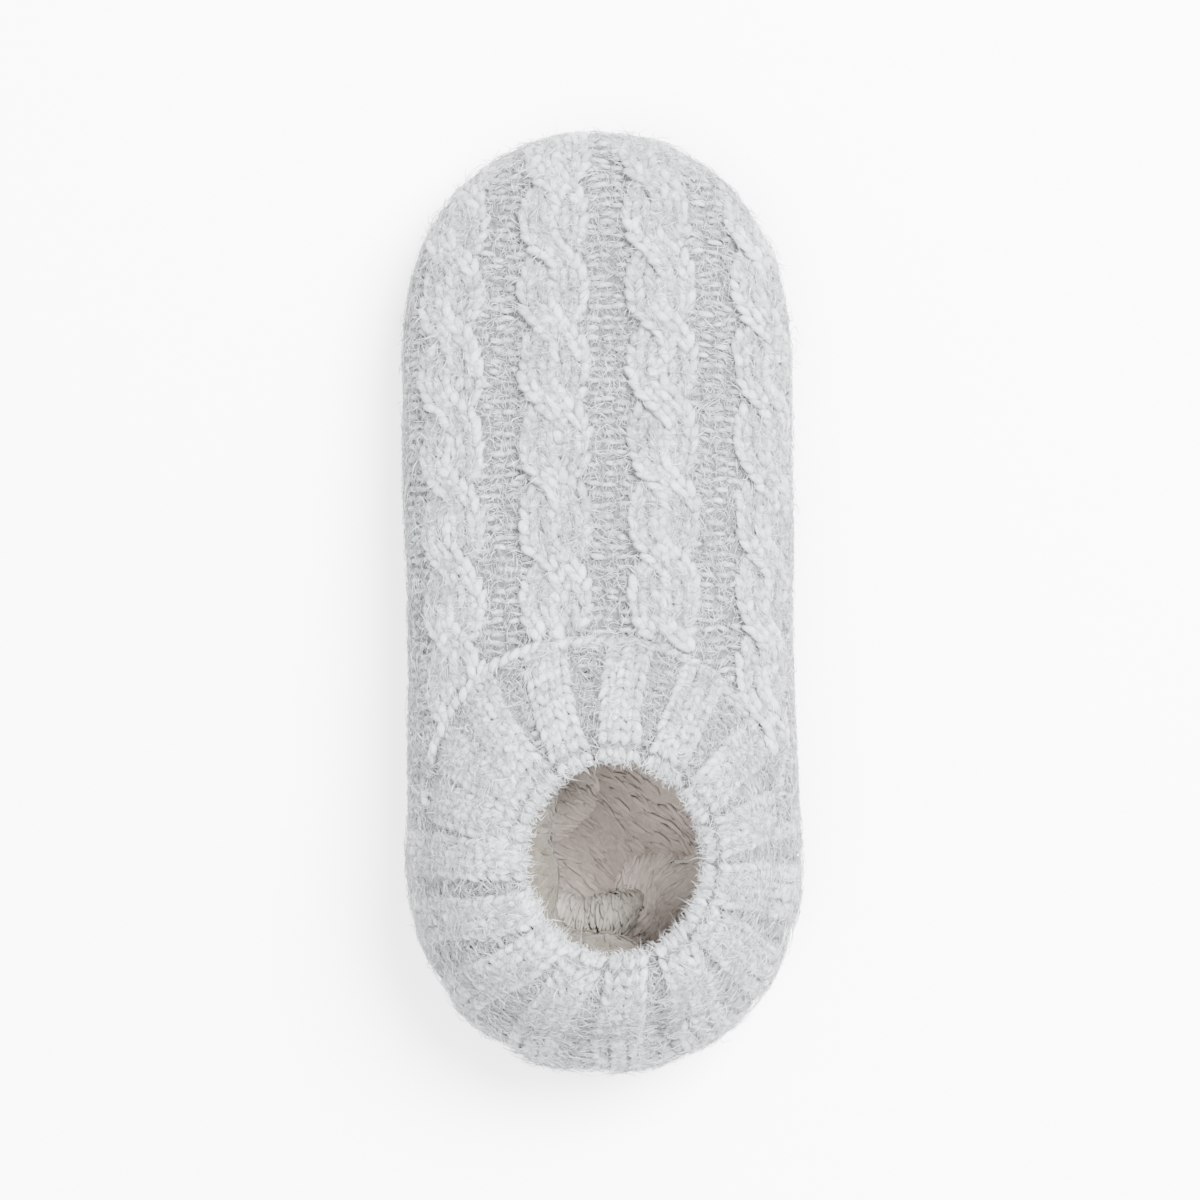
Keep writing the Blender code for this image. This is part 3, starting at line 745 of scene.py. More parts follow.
FIBRES = {
    # knit_ground is darker than knit_yarn as painted shade of the pockets between and under the stitches
    "knit_ground": knit((0.071, 0.074, 0.077), (0.205, 0.214, 0.222), (0.5, 2.2, 2.2)),
    "knit_yarn": knit((0.134, 0.140, 0.145), (0.311, 0.322, 0.334), (0.45, 2.6, 2.6)),
    "knit_hair": knit((0.144, 0.150, 0.157), (0.404, 0.418, 0.433), (0.6, 0.6, 0.6), 0.05),
    # plush_bed's dark and light are painted shade of the slipper's inside; its lightest is the pile's own
    # colour, far in towards the toe
    "plush_bed": plush((0.139, 0.114, 0.097), (0.219, 0.187, 0.164), (0.60, 0.54, 0.49)),
    # plush_lip and plush_fold are darkened copies of the plush, painted shade; plush_heel is lighter than
    # plush_bed, painted light where the rim shades the footbed
    "plush_lip": plush((0.048, 0.040, 0.030), (0.094, 0.083, 0.066)),
    "plush_fold": plush((0.139, 0.125, 0.106), (0.231, 0.215, 0.189)),
    "plush_inside": plush((0.42, 0.37, 0.33), (0.62, 0.56, 0.51)),
    "plush_heel": plush((0.223, 0.187, 0.163), (0.334, 0.291, 0.260)),
    "sole_cloth": cloth((0.190, 0.190, 0.185), (0.291, 0.291, 0.283)),
}


def add_node(material, kind, **values):
    node = material.node_tree.nodes.new(kind)
    for name, value in values.items():
        setattr(node, name, value)
    return node


def fibre_material(name, look):
    """Soft yarn or pile: its tone, which holds random variation and painted shade, and fine streaks along the
    fibre shade it, and the streaks raise it.
    """
    material = bpy.data.materials.new(name)
    material.use_nodes = True
    links = material.node_tree.links
    shader = material.node_tree.nodes["Principled BSDF"]
    shader.inputs["Roughness"].default_value = look.roughness
    shader.inputs["Specular IOR Level"].default_value = 0.15
    shader.inputs["Sheen Weight"].default_value = 0.1
    shader.inputs["Sheen Roughness"].default_value = 0.5
    tone = add_node(material, "ShaderNodeAttribute", attribute_name="tone")
    fibre = add_node(material, "ShaderNodeAttribute", attribute_name="fibre")
    stretch = add_node(material, "ShaderNodeMapping")
    stretch.inputs["Scale"].default_value = look.streaks
    streaks = add_node(material, "ShaderNodeTexNoise")
    streaks.inputs["Scale"].default_value = 1.0
    streaks.inputs["Detail"].default_value = 4.0
    links.new(fibre.outputs["Vector"], stretch.inputs["Vector"])
    links.new(stretch.outputs["Vector"], streaks.inputs["Vector"])
    shade = add_node(material, "ShaderNodeMath", operation="ADD")
    half = add_node(material, "ShaderNodeMath", operation="MULTIPLY")
    half.inputs[1].default_value = 0.5
    links.new(tone.outputs["Fac"], shade.inputs[0])
    links.new(streaks.outputs["Fac"], shade.inputs[1])
    links.new(shade.outputs["Value"], half.inputs[0])
    ramp = add_node(material, "ShaderNodeValToRGB")
    ramp.color_ramp.elements[0].position = 0.27
    ramp.color_ramp.elements[0].color = (*look.dark, 1.0)
    ramp.color_ramp.elements[1].position = 0.73
    ramp.color_ramp.elements[1].color = (*look.light, 1.0)
    # The lightest colour is the pile's own, where the painted shade of the footbed ends
    if look.lightest:
        ramp.color_ramp.elements.new(0.92).color = (*look.light, 1.0)
        ramp.color_ramp.elements.new(1.0).color = (*look.lightest, 1.0)
    links.new(half.outputs["Value"], ramp.inputs["Fac"])
    links.new(ramp.outputs["Color"], shader.inputs["Base Color"])
    raise_it = add_node(material, "ShaderNodeBump")
    raise_it.inputs["Strength"].default_value = 0.6
    raise_it.inputs["Distance"].default_value = look.bump * MM
    links.new(streaks.outputs["Fac"], raise_it.inputs["Height"])
    links.new(raise_it.outputs["Normal"], shader.inputs["Normal"])
    return material


MATERIALS = {name: fibre_material(name, look) for name, look in FIBRES.items()}


# Pieces and their faces
def new_piece(name, points, faces, material, tone, fibre=None):
    """A mesh piece that rides on the slipper. tone shades its points, with random variation and painted
    shade, and fibre runs along its yarn.
    """
    points = points.reshape(-1, 3)
    fibre = points if fibre is None else fibre
    mesh = bpy.data.meshes.new(name)
    face_list = faces.tolist() if isinstance(faces, np.ndarray) else faces
    mesh.from_pydata((points * MM).tolist(), [], face_list)
    shades = mesh.attributes.new("tone", "FLOAT", "POINT")
    shades.data.foreach_set("value", tone.ravel().astype(np.float32))
    layer = mesh.attributes.new("fibre", "FLOAT_VECTOR", "POINT")
    layer.data.foreach_set("vector", fibre.astype(np.float32).ravel())
    mesh.shade_smooth()
    mesh.materials.append(MATERIALS[material])
    piece = bpy.data.objects.new(name, mesh)
    bpy.context.scene.collection.objects.link(piece)
    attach(piece, "root")
    return piece


def thicken(piece, thickness, offset):
    wall = piece.modifiers.new("wall", "SOLIDIFY")
    wall.thickness = thickness * MM
    wall.offset = offset


def grid_faces(rows, columns, closed_rows=False, closed_columns=False):
    """Quads of a grid of points, counted row by row."""
    row = np.arange(rows if closed_rows else rows - 1)[:, None]
    column = np.arange(columns if closed_columns else columns - 1)[None]
    next_row, next_column = (row + 1) % rows, (column + 1) % columns
    corners = (
        row * columns + column,
        row * columns + next_column,
        next_row * columns + next_column,
        next_row * columns + column,
    )
    return np.stack([np.broadcast_to(c, (row.size, column.size)) for c in corners], axis=-1).reshape(-1, 4)


def ring_faces(grid):
    """Faces of a closed ring of closed sections."""
    return grid_faces(*grid.shape[:2], closed_rows=True, closed_columns=True)[:, ::-1]


def with_ends(faces, rows, columns):
    """Faces of a tube of closed rows, with the first and the last row filled."""
    first = list(range(columns))
    final = [(rows - 1) * columns + column for column in first]
    return [*faces.tolist(), first, final[::-1]]


def only_used(faces):
    """The points that faces use, and the faces numbered by them."""
    used, numbered = np.unique(faces, return_inverse=True)
    return used, numbered.reshape(faces.shape)


def repeated_faces(faces, count, points_each):
    """Triangles of one form, for many copies of it."""
    return (np.array(faces)[None] + (np.arange(count) * points_each)[:, None, None]).reshape(-1, 3)


# Stitches
def leaf_faces():
    """Triangles of one leaf: a tip, the rings and a tip."""
    faces = []
    last_ring = 1 + (len(LEAF_RINGS) - 1) * LEAF_SIDES
    for index in range(LEAF_SIDES):
        following = (index + 1) % LEAF_SIDES
        faces.append((0, 1 + following, 1 + index))
        for ring in range(len(LEAF_RINGS) - 1):
            low, high = 1 + ring * LEAF_SIDES, 1 + (ring + 1) * LEAF_SIDES
            faces.append((low + index, low + following, high + following))
            faces.append((low + index, high + following, high + index))
        faces.append((last_ring + index, last_ring + following, last_ring + LEAF_SIDES))
    return faces


def leaf_points(centres, along, normals, sizes, sag, bend, shade):
    """Points, faces, tones and fibre lines of pointed stitch legs, one a row. The tones vary at random, and
    darken by shade and towards the ends as painted shade.
    """
    count = len(centres)
    along = along_surface(along, normals)
    across = np.cross(normals, along)
    places = [(-0.5, 0.0, 0.0)]
    for share, size in LEAF_RINGS:
        turns = np.linspace(0.0, 2 * math.pi, LEAF_SIDES, endpoint=False)
        places.extend((share, size * math.cos(turn), size * math.sin(turn)) for turn in turns)
    places.append((0.5, 0.0, 0.0))
    place = np.array(places)
    to_ends = 4 * place[:, 0] ** 2
    step = place[:, 0] * sizes[:, :1]
    side = place[:, 1] * sizes[:, 1:2] / 2 + bend[:, None] * (1 - to_ends)
    lift = place[:, 2] * sizes[:, 2:3] / 2 - sag[:, None] * to_ends
    points = centres[:, None] + step[..., None] * along[:, None] + side[..., None] * across[:, None]
    points = points + lift[..., None] * normals[:, None]
    patch = 0.5 * soft_noise(centres, 7.0)[:, None] - 0.25
    tone = random.uniform(*LEAF_TONES, (count, 1)) + patch - LEAF_END_SHADE * to_ends - shade[:, None]
    fibre = np.stack([step, side, lift], axis=-1) + random.uniform(0.0, 900.0, (count, 1, 3))
    return points, repeated_faces(leaf_faces(), count, len(place)), tone, fibre


class Stitches:
    """Collects stitch legs or pile locks and turns them into one piece."""

    def __init__(self, jitter):
        self.rows = []
        self.jitter = jitter

    def add(self, centres, along, normals, size, sag=KNIT_SAG, bend=0.0, shade=0.0):
        count = len(centres)
        if not count:
            return
        sizes = np.array(size) * random.uniform(*STITCH_SIZES, (count, 3))
        centres = centres + random.normal(0.0, self.jitter, (count, 3))
        along = unit(along) + random.normal(0.0, self.jitter / 2, (count, 3))
        bends = bend + random.normal(0.0, 0.7 * self.jitter, count)
        self.rows.append((centres, along, normals, sizes, np.full(count, sag), bends, np.full(count, shade)))

    def piece(self, name, material):
        joined = [np.concatenate(column) for column in zip(*self.rows)]
        points, faces, tone, fibre = leaf_points(*joined)
        new_piece(name, points, faces, material, tone, fibre)


def add_knit_column(
    stitches, points, normals, leg=KNIT_LEG, column=RIB_COLUMN, forward=None, shown=EVERYTHING
):
    """Knit stitches up a line of points: two legs that lean towards each other."""
    forward = line_direction(points) if forward is None else forward
    across = np.cross(forward, normals)
    for side in (-1, 1):
        centres = points + across * side * column / 4
        slant = turned(forward, normals, -side * KNIT_SLANT)
        stitches.add(centres[shown], slant[shown], normals[shown], leg, bend=KNIT_BEND * side)


def add_purl_bars(stitches, points, normals, shade, rise=0.0, shown=EVERYTHING):
    """Purl bars up a line of points, across it, darkened by shade, which is painted shade."""
    across = np.cross(line_direction(points), normals)
    bars = (points + normals * rise)[shown]
    stitches.add(bars, across[shown], normals[shown], PURL_BAR, sag=PURL_SAG, shade=shade)


class Foot:
    """The outer surface of the knitted foot, with where each of its points lies in the knit."""

    def __init__(self):
        self.places = outline_places(1.0, 0.0, *FOOT_ROWS)
        self.ground = section_grid(self.places, 0.0, FOOT_COLUMNS)
        shape = self.ground.shape[:2]
        self.across = np.zeros(shape)
        self.forward = np.zeros(shape)
        self.relief = np.zeros(shape)
        self.fade = np.zeros(shape)
        for row, along in enumerate(self.places):
            points = self.ground[row]
            self.across[row], self.forward[row] = pattern_place(points, along)
            self.fade[row] = relief_fade(points, along)
            for side in CABLE_SIDES:
                off_centre = self.across[row] - CABLE_SHIFT - side * CABLE_SPACING
                self.relief[row] = np.maximum(self.relief[row], cable_height(off_centre, self.forward[row]))
        self.normals = facing(grid_normals(self.ground), self.ground - UP * MIDDLE_HEIGHT)
        self.above = self.ground[:, :, 2] >= last("widest_level", self.places)[:, None] - 0.01
        ribs = np.where(self.above, heel_ribs(self.ground, self.normals), 0.0)
        self.relief = np.maximum(self.relief * self.fade, ribs)
        self.relief[[0, -1]] = 0.0

    def raised(self, sink):
        """The surface with its cables, and sunk a little so that the stitches stand out of it."""
        under_cuff = np.where(self.above, smooth_step(top_line_share(self.ground), 1.0, 0.95), 0.0)
        height = self.relief * RELIEF_UNDER_STITCHES - sink - UNDER_CUFF_SINK * under_cuff
        height = height + waver(self.ground, *FOOT_WAVER)
        height[:, [0, -1]] = 0.0
        height[[0, -1]] = 0.0
        return self.ground + self.normals * height[..., None]

    def trace(self, wanted):
        """Grid rows, columns and places forward of a line of the knit, above the widest level."""
        count = self.ground.shape[1]
        forward = self.places.copy()
        column = np.full(len(forward), np.nan)
        for _ in range(5):
            across = wanted(forward)
            for row in range(1, len(forward) - 1):
                part = np.flatnonzero(self.above[row])
                column[row] = np.interp(
                    across[row], self.across[row, part], part, left=np.nan, right=np.nan
                )
                if not np.isnan(column[row]):
                    forward[row] = np.interp(column[row], np.arange(count), self.forward[row])
        rows = np.flatnonzero(~np.isnan(column))
        return rows.astype(float), column[rows], forward[rows]


def place_on(foot, surface, line, step):
    """Evenly spaced grid places, points and normals along a traced line."""
    rows, columns, forward = line
    zero = int(np.argmin(np.abs(forward)))
    places = spaced(sample(surface, rows, columns), step, zero)
    index = np.arange(len(rows))
    rows, columns, forward = (np.interp(places, index, values) for values in line)
    return rows, columns, forward, *sample_line(surface, foot.normals, rows, columns)


def add_cables(foot, surface, stitches):
    """Two columns of knit stitches on each strand, left out where the strand runs under the other."""
    for side in CABLE_SIDES:
        centre = CABLE_SHIFT + side * CABLE_SPACING
        for strand in (0, 1):
            for column_side in (-0.5, 0.5):

                def wanted(forward):
                    return centre + strand_swing(forward, strand) + column_side * CABLE_COLUMN

                line = foot.trace(wanted)
                rows, columns, forward, points, normals = place_on(foot, surface, line, KNIT_ROW)
                off_centre = wanted(forward) - centre
                own = strand_height(off_centre, forward, strand)
                shown = own >= cable_height(off_centre, forward) - 0.3
                shown &= sample(foot.fade, rows, columns) > 0.2
                shown &= top_line_share(points) > OUTSIDE_TOP_LINE
                over = np.sin(strand_phase(forward, strand))[:, None]
                raised = points + normals * (CABLE_LIFT + CABLE_OVER * over)
                add_knit_column(
                    stitches, raised, normals, CABLE_LEG, CABLE_COLUMN, line_direction(points), shown
                )


def add_purl_ground(foot, surface, stitches):
    """Rows of purl bars between and beside the cables, above the widest level."""
    reach = np.abs(foot.across[foot.above]).max()
    count = int(reach // PURL_COLUMN)
    for index in range(-count, count + 1):
        across_place = CABLE_SHIFT + index * PURL_COLUMN
        line = foot.trace(lambda forward: across_place + PURL_WANDER * np.sin(forward / 5.0 + 2.4 * index))
        if len(line[0]) < 4:
            continue
        rows, columns, _, points, normals = place_on(foot, surface, line, PURL_ROW)
        shown = (sample(foot.relief, rows, columns) < 0.9) & (top_line_share(points) > OUTSIDE_TOP_LINE)
        shown &= points[:, 1] > TOP_LINE_CENTRE[1]
        add_purl_bars(stitches, points, normals, GROUND_SHADE, GROUND_LIFT, shown)


class Band:
    """The wall below the widest level, from the widest outline in to the sole, on one side of the slipper."""

    def __init__(self, side, count, levels):
        shares = 1 - np.linspace(0.0, 1.0, levels) ** (1 / TUCK_POWER)
        self.grid = np.empty((count, levels, 3))
        for level, share in enumerate(shares):
            ratio = FOOT_RATIO + (1 - FOOT_RATIO) * share
            y = outline_places(ratio, 0.0, *BAND_PLACES)
            x = outline(y, ratio, 0.0)
            walked = np.concatenate([[0.0], np.cumsum(np.hypot(np.diff(x), np.diff(y)))])
            wanted = np.linspace(0.0, walked[-1], count)
            along = np.interp(wanted, walked, y)
            self.grid[:, level, 0] = side * np.interp(wanted, walked, x)
            self.grid[:, level, 1] = along
            self.grid[:, level, 2] = side_height(along, 1 - share)
        self.normals = facing(grid_normals(self.grid), self.grid * (1.0, 0.3, 0.0))


def add_band(stitches):
    """Purl bars on the wall below the widest level: upright at the sides, level at toe and heel."""
    for side in (-1, 1):
        band = Band(side, *BAND_GRID)
        round_it = np.gradient(band.grid, axis=0)
        points, normals, round_it = (
            values[1:-1, :-1].reshape(-1, 3) for values in (band.grid, band.normals, round_it)
        )
        past, length = cap(points[:, 1])
        upright = 90.0 * (1 - smooth_step(past / length, 0.2, 0.75))
        direction = turned(unit(round_it), normals, upright[:, None])
        shown = points[:, 1] > TOP_LINE_CENTRE[1]
        bars = (points - normals * BAND_SINK)[shown]
        stitches.add(bars, direction[shown], normals[shown], PURL_BAR, sag=PURL_SAG)


class Cuff:
    """Outside of the cuff: rows are spokes, columns go from the top line to the crown of the rim."""

    def __init__(self):
        self.angles = np.linspace(0.0, 2 * math.pi, CUFF_SPOKES + 1)
        self.shares = np.linspace(0.0, 1.0, CUFF_ROWS)
        self.ground = cuff_ground(self.angles, self.shares)
        self.normals = facing(ring_normals(self.ground, repeated=1), UP)
        self.normals[:, 0] = top_line(self.angles)[1]
        self.ribs = rib_height(self.angles, self.shares)

    def raised(self, sink):
        """The surface with its ribs, and with valleys drawn in between them."""
        valley = (1 - np.clip(self.ribs / 1.6, 0.0, 1.0)) * smooth_step(self.shares, 0.08, 0.35)[None]
        height = RIB_SWELL * self.ribs - sink - VALLEY_DEPTH * valley
        return self.ground + self.normals * height[..., None]

    def inside(self):
        return self.ground - self.normals * CUFF_WALL

    def rim_roll(self, sink, turns):
        """Points and outward directions of the rim, where the cuff rolls in to its inside."""
        outer, inner = self.raised(sink), self.inside()
        upward = unit(outer[:, -1] - outer[:, -2])
        middle = (outer[:, -1] + inner[:, -1]) / 2
        radius = np.linalg.norm(outer[:, -1] - inner[:, -1], axis=1, keepdims=True) / 2
        outward = [math.cos(turn) * self.normals[:, -1] + math.sin(turn) * upward for turn in turns]
        points = [middle + radius * direction for direction in outward]
        return np.stack(points, axis=1), np.stack(outward, axis=1)


class Skirt:
    """The foot's surface below the cuff, from the top line out and down to the sole, spoke by spoke."""

    def __init__(self):
        start = top_line(np.linspace(0.0, 2 * math.pi, CUFF_SPOKES + 1))[0]
        outward = unit(start[:, :2] - RIM_CENTRE)
        edge = np.array([self.to_outline(p, d) for p, d in zip(start[:, :2], outward)])
        shares = np.sin(np.linspace(0.0, math.pi / 2, 14))[None, :, None]
        plan = start[:, None, :2] + (edge - start[:, :2])[:, None] * shares
        top = np.concatenate([plan, dome(plan[..., 0], plan[..., 1])[..., None]], axis=2)
        fall = np.linspace(0.0, 1.0, 12)[1:][None]
        ratio = 1 - (1 - FOOT_RATIO) * fall
        x, y = edge[:, :1], edge[:, 1:]
        centre = np.clip(y, HEEL_CAP_START, TOE_CAP_START)
        along = centre + (y - centre) * ratio
        side = np.stack([x * ratio, along, side_height(along, fall)], axis=-1)
        self.grid = np.concatenate([top, side], axis=1)
        middle = np.array([*TOP_LINE_CENTRE, MIDDLE_HEIGHT])
        self.normals = facing(ring_normals(self.grid, repeated=1), self.grid - middle)

    @staticmethod
    def to_outline(point, direction):
        """Where a way out from a point meets the widest outline."""
        places = point + direction * np.linspace(0.0, *OUTLINE_SEARCH)[:, None]
        places = places[(places[:, 1] > HEEL_END) & (places[:, 1] < TOE_END)]
        inside = np.abs(places[:, 0]) <= outline(places[:, 1], 1.0, 0.0)
        return places[np.flatnonzero(inside)[-1]]


def line_up(surface, normals, degrees, columns, offset, step, zero=-1):
    """Evenly spaced points and normals along a line of a round surface, beside its middle line."""
    degrees = np.broadcast_to(degrees, columns.shape)
    middle = sample(surface, spoke(degrees), columns)
    radius = np.linalg.norm(middle[:, :2] - RIM_CENTRE, axis=1)
    rows = spoke(degrees + np.degrees(offset / radius))
    points = sample(surface, rows, columns)
    places = spaced(points, step, zero)
    index = np.arange(len(points))
    rows = np.interp(places, index, np.unwrap(rows, period=CUFF_SPOKES)) % CUFF_SPOKES
    return sample_line(surface, normals, rows, np.interp(places, index, columns))


def add_heel_stitches(skirt, stitches, rib_angle, valley_angle):
    """Three knit columns on a rib that runs on down the heel, and purl bars in the valley after it."""
    columns = np.linspace(0.0, skirt.grid.shape[1] - 1.01, LINE_POINTS)
    for side in (-1, 0, 1):
        points, normals = line_up(
            skirt.grid, skirt.normals, rib_angle, columns, side * RIB_COLUMN, KNIT_ROW, 0
        )
        shown = points[:, 1] < TOP_LINE_CENTRE[1] + 2.0
        rise = RELIEF_UNDER_STITCHES * heel_ribs(points, normals)[:, None]
        if shown.sum() > 3:
            add_knit_column(stitches, (points + normals * rise)[shown], normals[shown])
    for side in (-1, 0, 1):
        points, normals = line_up(
            skirt.grid, skirt.normals, valley_angle, columns, side * PURL_COLUMN, PURL_ROW, 0
        )
        shown = points[:, 1] < TOP_LINE_CENTRE[1]
        rise = RELIEF_UNDER_STITCHES * heel_ribs(points, normals)[:, None] - 0.1
        add_purl_bars(stitches, points, normals, HEEL_VALLEY_SHADE, rise, shown)


def add_cuff_stitches(cuff, surface, skirt, stitches):
    """Three knit columns on each rib and purl bars in the valley after it, run on down the heel."""
    for rib, following in zip(RIBS, NEXT_RIBS):
        shares = np.linspace(HEM_SHARE * front_share(np.radians(rib.at_top_line)), 1.0, LINE_POINTS)
        columns = shares * (CUFF_ROWS - 1)
        valley_top_line = halfway(rib.at_top_line, following.at_top_line)
        valley_rim = halfway(rib.at_rim, following.at_rim)
        on_rib = rib.at_top_line + (rib.at_rim - rib.at_top_line) * shares
        in_valley = valley_top_line + (valley_rim - valley_top_line) * shares
        for side in (-1, 0, 1):
            offset = side * (RIB_COLUMN - RIB_NARROWS * shares)
            points, normals = line_up(surface, cuff.normals, on_rib, columns, offset, KNIT_ROW)
            add_knit_column(stitches, points + normals * RIB_LIFT, normals)
        for side in (-0.5, 0.5):
            offset = side * PURL_COLUMN * (1 - VALLEY_NARROWS * shares)
            points, normals = line_up(surface, cuff.normals, in_valley, columns, offset, PURL_ROW)
            add_purl_bars(stitches, points, normals, VALLEY_SHADE)
        add_heel_stitches(skirt, stitches, rib.at_top_line, valley_top_line)


def add_rim_stitches(cuff, stitches):
    """The knit columns of each rib and a purl column between ribs, run on over the rolled rim and in."""
    points, outward = cuff.rim_roll(CUFF_STITCH_SINK, RIM_ROWS)
    columns = np.arange(len(RIM_ROWS), dtype=float)
    column_turn = np.degrees((RIB_COLUMN - RIB_NARROWS) / RIM_HALF_WIDTH)

    def over_rim(degrees):
        return sample_line(points, outward, np.full(len(RIM_ROWS), spoke(degrees)), columns)

    for rib, following in zip(RIBS, NEXT_RIBS):
        for side in (-1, 0, 1):
            add_knit_column(stitches, *over_rim(rib.at_rim + side * column_turn), RIM_LEG)
        add_purl_bars(stitches, *over_rim(halfway(rib.at_rim, following.at_rim)), VALLEY_SHADE)


def add_seam(cuff, surface, stitches):
    """Corded seam where the cuff is linked to the foot: slanting stitches along the front of the top line."""
    angles = np.linspace(0.0, 360.0, SEAM_COUNT, endpoint=False)
    columns = np.full(SEAM_COUNT, HEM_PLACE) * (CUFF_ROWS - 1)
    points, normals = sample_line(surface, cuff.normals, spoke(angles), columns)
    round_it = unit(np.roll(points, -1, axis=0) - np.roll(points, 1, axis=0))
    shown = np.sin(np.radians(angles)) > SEAM_SHOWN_FROM
    slant = turned(round_it, normals, SEAM_SLANT)
    rise = SEAM_SINK + smooth_step(angles, *SEAM_RISES)[:, None]
    stitches.add((points + normals * rise)[shown], slant[shown], normals[shown], SEAM_LEG, sag=SEAM_SAG)


# Walls under the stitches
def make_foot(foot):
    """Closed wall under the stitches of the foot, open at the top line and underneath."""
    surface = foot.raised(FOOT_WALL_SINK)[EVERY_SECOND]
    share = np.where(foot.above, top_line_share(foot.ground), 2.0)[EVERY_SECOND].ravel()
    faces = grid_faces(*surface.shape[:2])
    used, faces = only_used(faces[(share[faces] > 0.9).any(axis=1)])
    fibre = np.stack([foot.forward, foot.across, np.zeros_like(foot.across)], axis=-1)[EVERY_SECOND]
    # painted shade: darker where the relief is low
    tone = tone_of(FOOT_RELIEF_SHADE, np.clip(foot.relief / STRAND_RISE, 0.0, 1.0)[EVERY_SECOND])
    points, fibre = (values.reshape(-1, 3)[used] for values in (surface, fibre))
    piece = new_piece("knit_foot", points, faces, "knit_ground", tone.ravel()[used], fibre)
    weld = piece.modifiers.new("weld", "WELD")
    weld.merge_threshold = WELD_DISTANCE * MM
    thicken(piece, FOOT_WALL, -1.0)
    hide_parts("upper")


def make_cuff(cuff):
    """Closed wall under the stitches of the cuff: up its outside, over the rim and down its inside."""
    outer = cuff.raised(CUFF_WALL_SINK)[:-1]
    inner = cuff.inside()[:-1]
    rim = cuff.rim_roll(CUFF_WALL_SINK, np.linspace(0.0, math.pi, 8)[1:-1])[0][:-1]
    loop = np.concatenate([outer, rim, inner[:, ::-3]], axis=1)
    rows, columns = loop.shape[:2]
    tone = np.full((rows, columns), CUFF_INSIDE_TONE)
    # painted shade: darker in the valleys between the ribs
    tone[:, : outer.shape[1]] = tone_of(CUFF_RIB_SHADE, np.clip(cuff.ribs[:-1] / 2.5, 0.0, 1.0))
    fibre = np.zeros((rows, columns, 3))
    fibre[..., 0] = np.arange(columns)[None] * 1.3
    fibre[..., 1] = np.abs(np.sin(np.linspace(0.0, 4 * math.pi, rows)))[:, None] * 40.0
    piece = new_piece("knit_cuff", loop, ring_faces(loop), "knit_ground", tone, fibre)
    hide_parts("cuff")


def make_sole():
    """Cloth sole of the solid's outline, with finer rounding, and its arch and springs."""
    places = outline_places(SOLE_RATIO, 0.0, *SOLE_ROWS, short=0.02)
    half = outline(places, SOLE_RATIO, 0.0)[:, None]
    low, high = (spring(places) + arch(places))[:, None], sole_top(places)[:, None]
    edge = np.minimum(SOLE_EDGE, MOST_ROUNDED * half)
    rounding = np.minimum(SOLE_EDGE, MOST_ROUNDED * (high - low))
    turn = np.linspace(0.0, math.pi / 2, 7)
    x_low = half - edge * (1 - np.sin(turn))
    z_low = low + rounding * (1 - np.cos(turn))
    x_high = half - edge * (1 - np.sin(turn[::-1]))
    z_high = high - rounding * (1 - np.cos(turn[::-1]))
    spread = np.linspace(0.15, 0.95, 8)
    flat = np.ones((1, len(spread)))
    x_right = np.concatenate([x_low[:, :1] * spread, x_low, x_high, x_high[:, -1:] * spread[::-1]], axis=1)
    z_right = np.concatenate([low * flat, z_low, z_high, high * flat], axis=1)
    x = np.concatenate([x_right, -x_right[:, ::-1]], axis=1)
    z = np.concatenate([z_right, z_right[:, ::-1]], axis=1)
    loop = np.stack([x, np.broadcast_to(places[:, None], x.shape), z], axis=-1)
    faces = with_ends(grid_faces(*x.shape, closed_columns=True)[:, ::-1], *x.shape)
    piece = new_piece("cloth_sole", loop, faces, "sole_cloth", np.full(x.size, SOLE_TONE))
    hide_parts("sole")


# Plush lining and footbed
def surface_seeds(grid, normals, count, keep, *values):
    """Random points on a grid surface, spread evenly by area, with the normal and the row direction there.

    keep thins them out, and further grids of values are read at the same points.
    """
    corner = grid[:-1, :-1]
    down, right = grid[1:, :-1] - corner, grid[:-1, 1:] - corner
    area = np.linalg.norm(np.cross(down, right), axis=2) * keep[:-1, :-1]
    chance = np.cumsum(area.ravel())
    cell = np.searchsorted(chance, random.uniform(0.0, chance[-1], count))
    row, column = np.divmod(np.minimum(cell, area.size - 1), area.shape[1])
    row = row + random.uniform(0.0, 1.0, count)
    column = column + random.uniform(0.0, 1.0, count)
    flow = unit(sample(np.gradient(grid, axis=0), row, column))
    found = [sample(value, row, column) for value in values]
    return *sample_line(grid, normals, row, column), flow, *found


def pile_waves(points, direction):
    """Clumps of brushed pile: soft ridges drawn out along a direction, at two sizes."""
    along = points[..., 0] * direction[0] + points[..., 1] * direction[1]
    across = -points[..., 0] * direction[1] + points[..., 1] * direction[0]
    across = across + waver(points, *CLUMP_WAVER)
    drawn = np.stack([along * 0.3, across, points[..., 2]], axis=-1)
    wide = np.abs(2.0 * soft_noise(drawn, 3.6) - 1.0)
    fine = np.abs(2.0 * soft_noise(drawn + 50.0, 1.7) - 1.0)
    return 0.65 * np.sqrt(wide) + 0.35 * np.sqrt(fine)


def make_pile(name, roots, normals, flow, material, shade=0.0, lock=PILE_LOCK, sag=PILE_SAG):
    """Locks of brushed pile that lie along a flow."""
    locks = Stitches(PILE_JITTER)
    locks.add(roots - normals * PILE_SINK, flow, normals, lock, sag=sag, shade=shade)
    locks.piece(name, material)


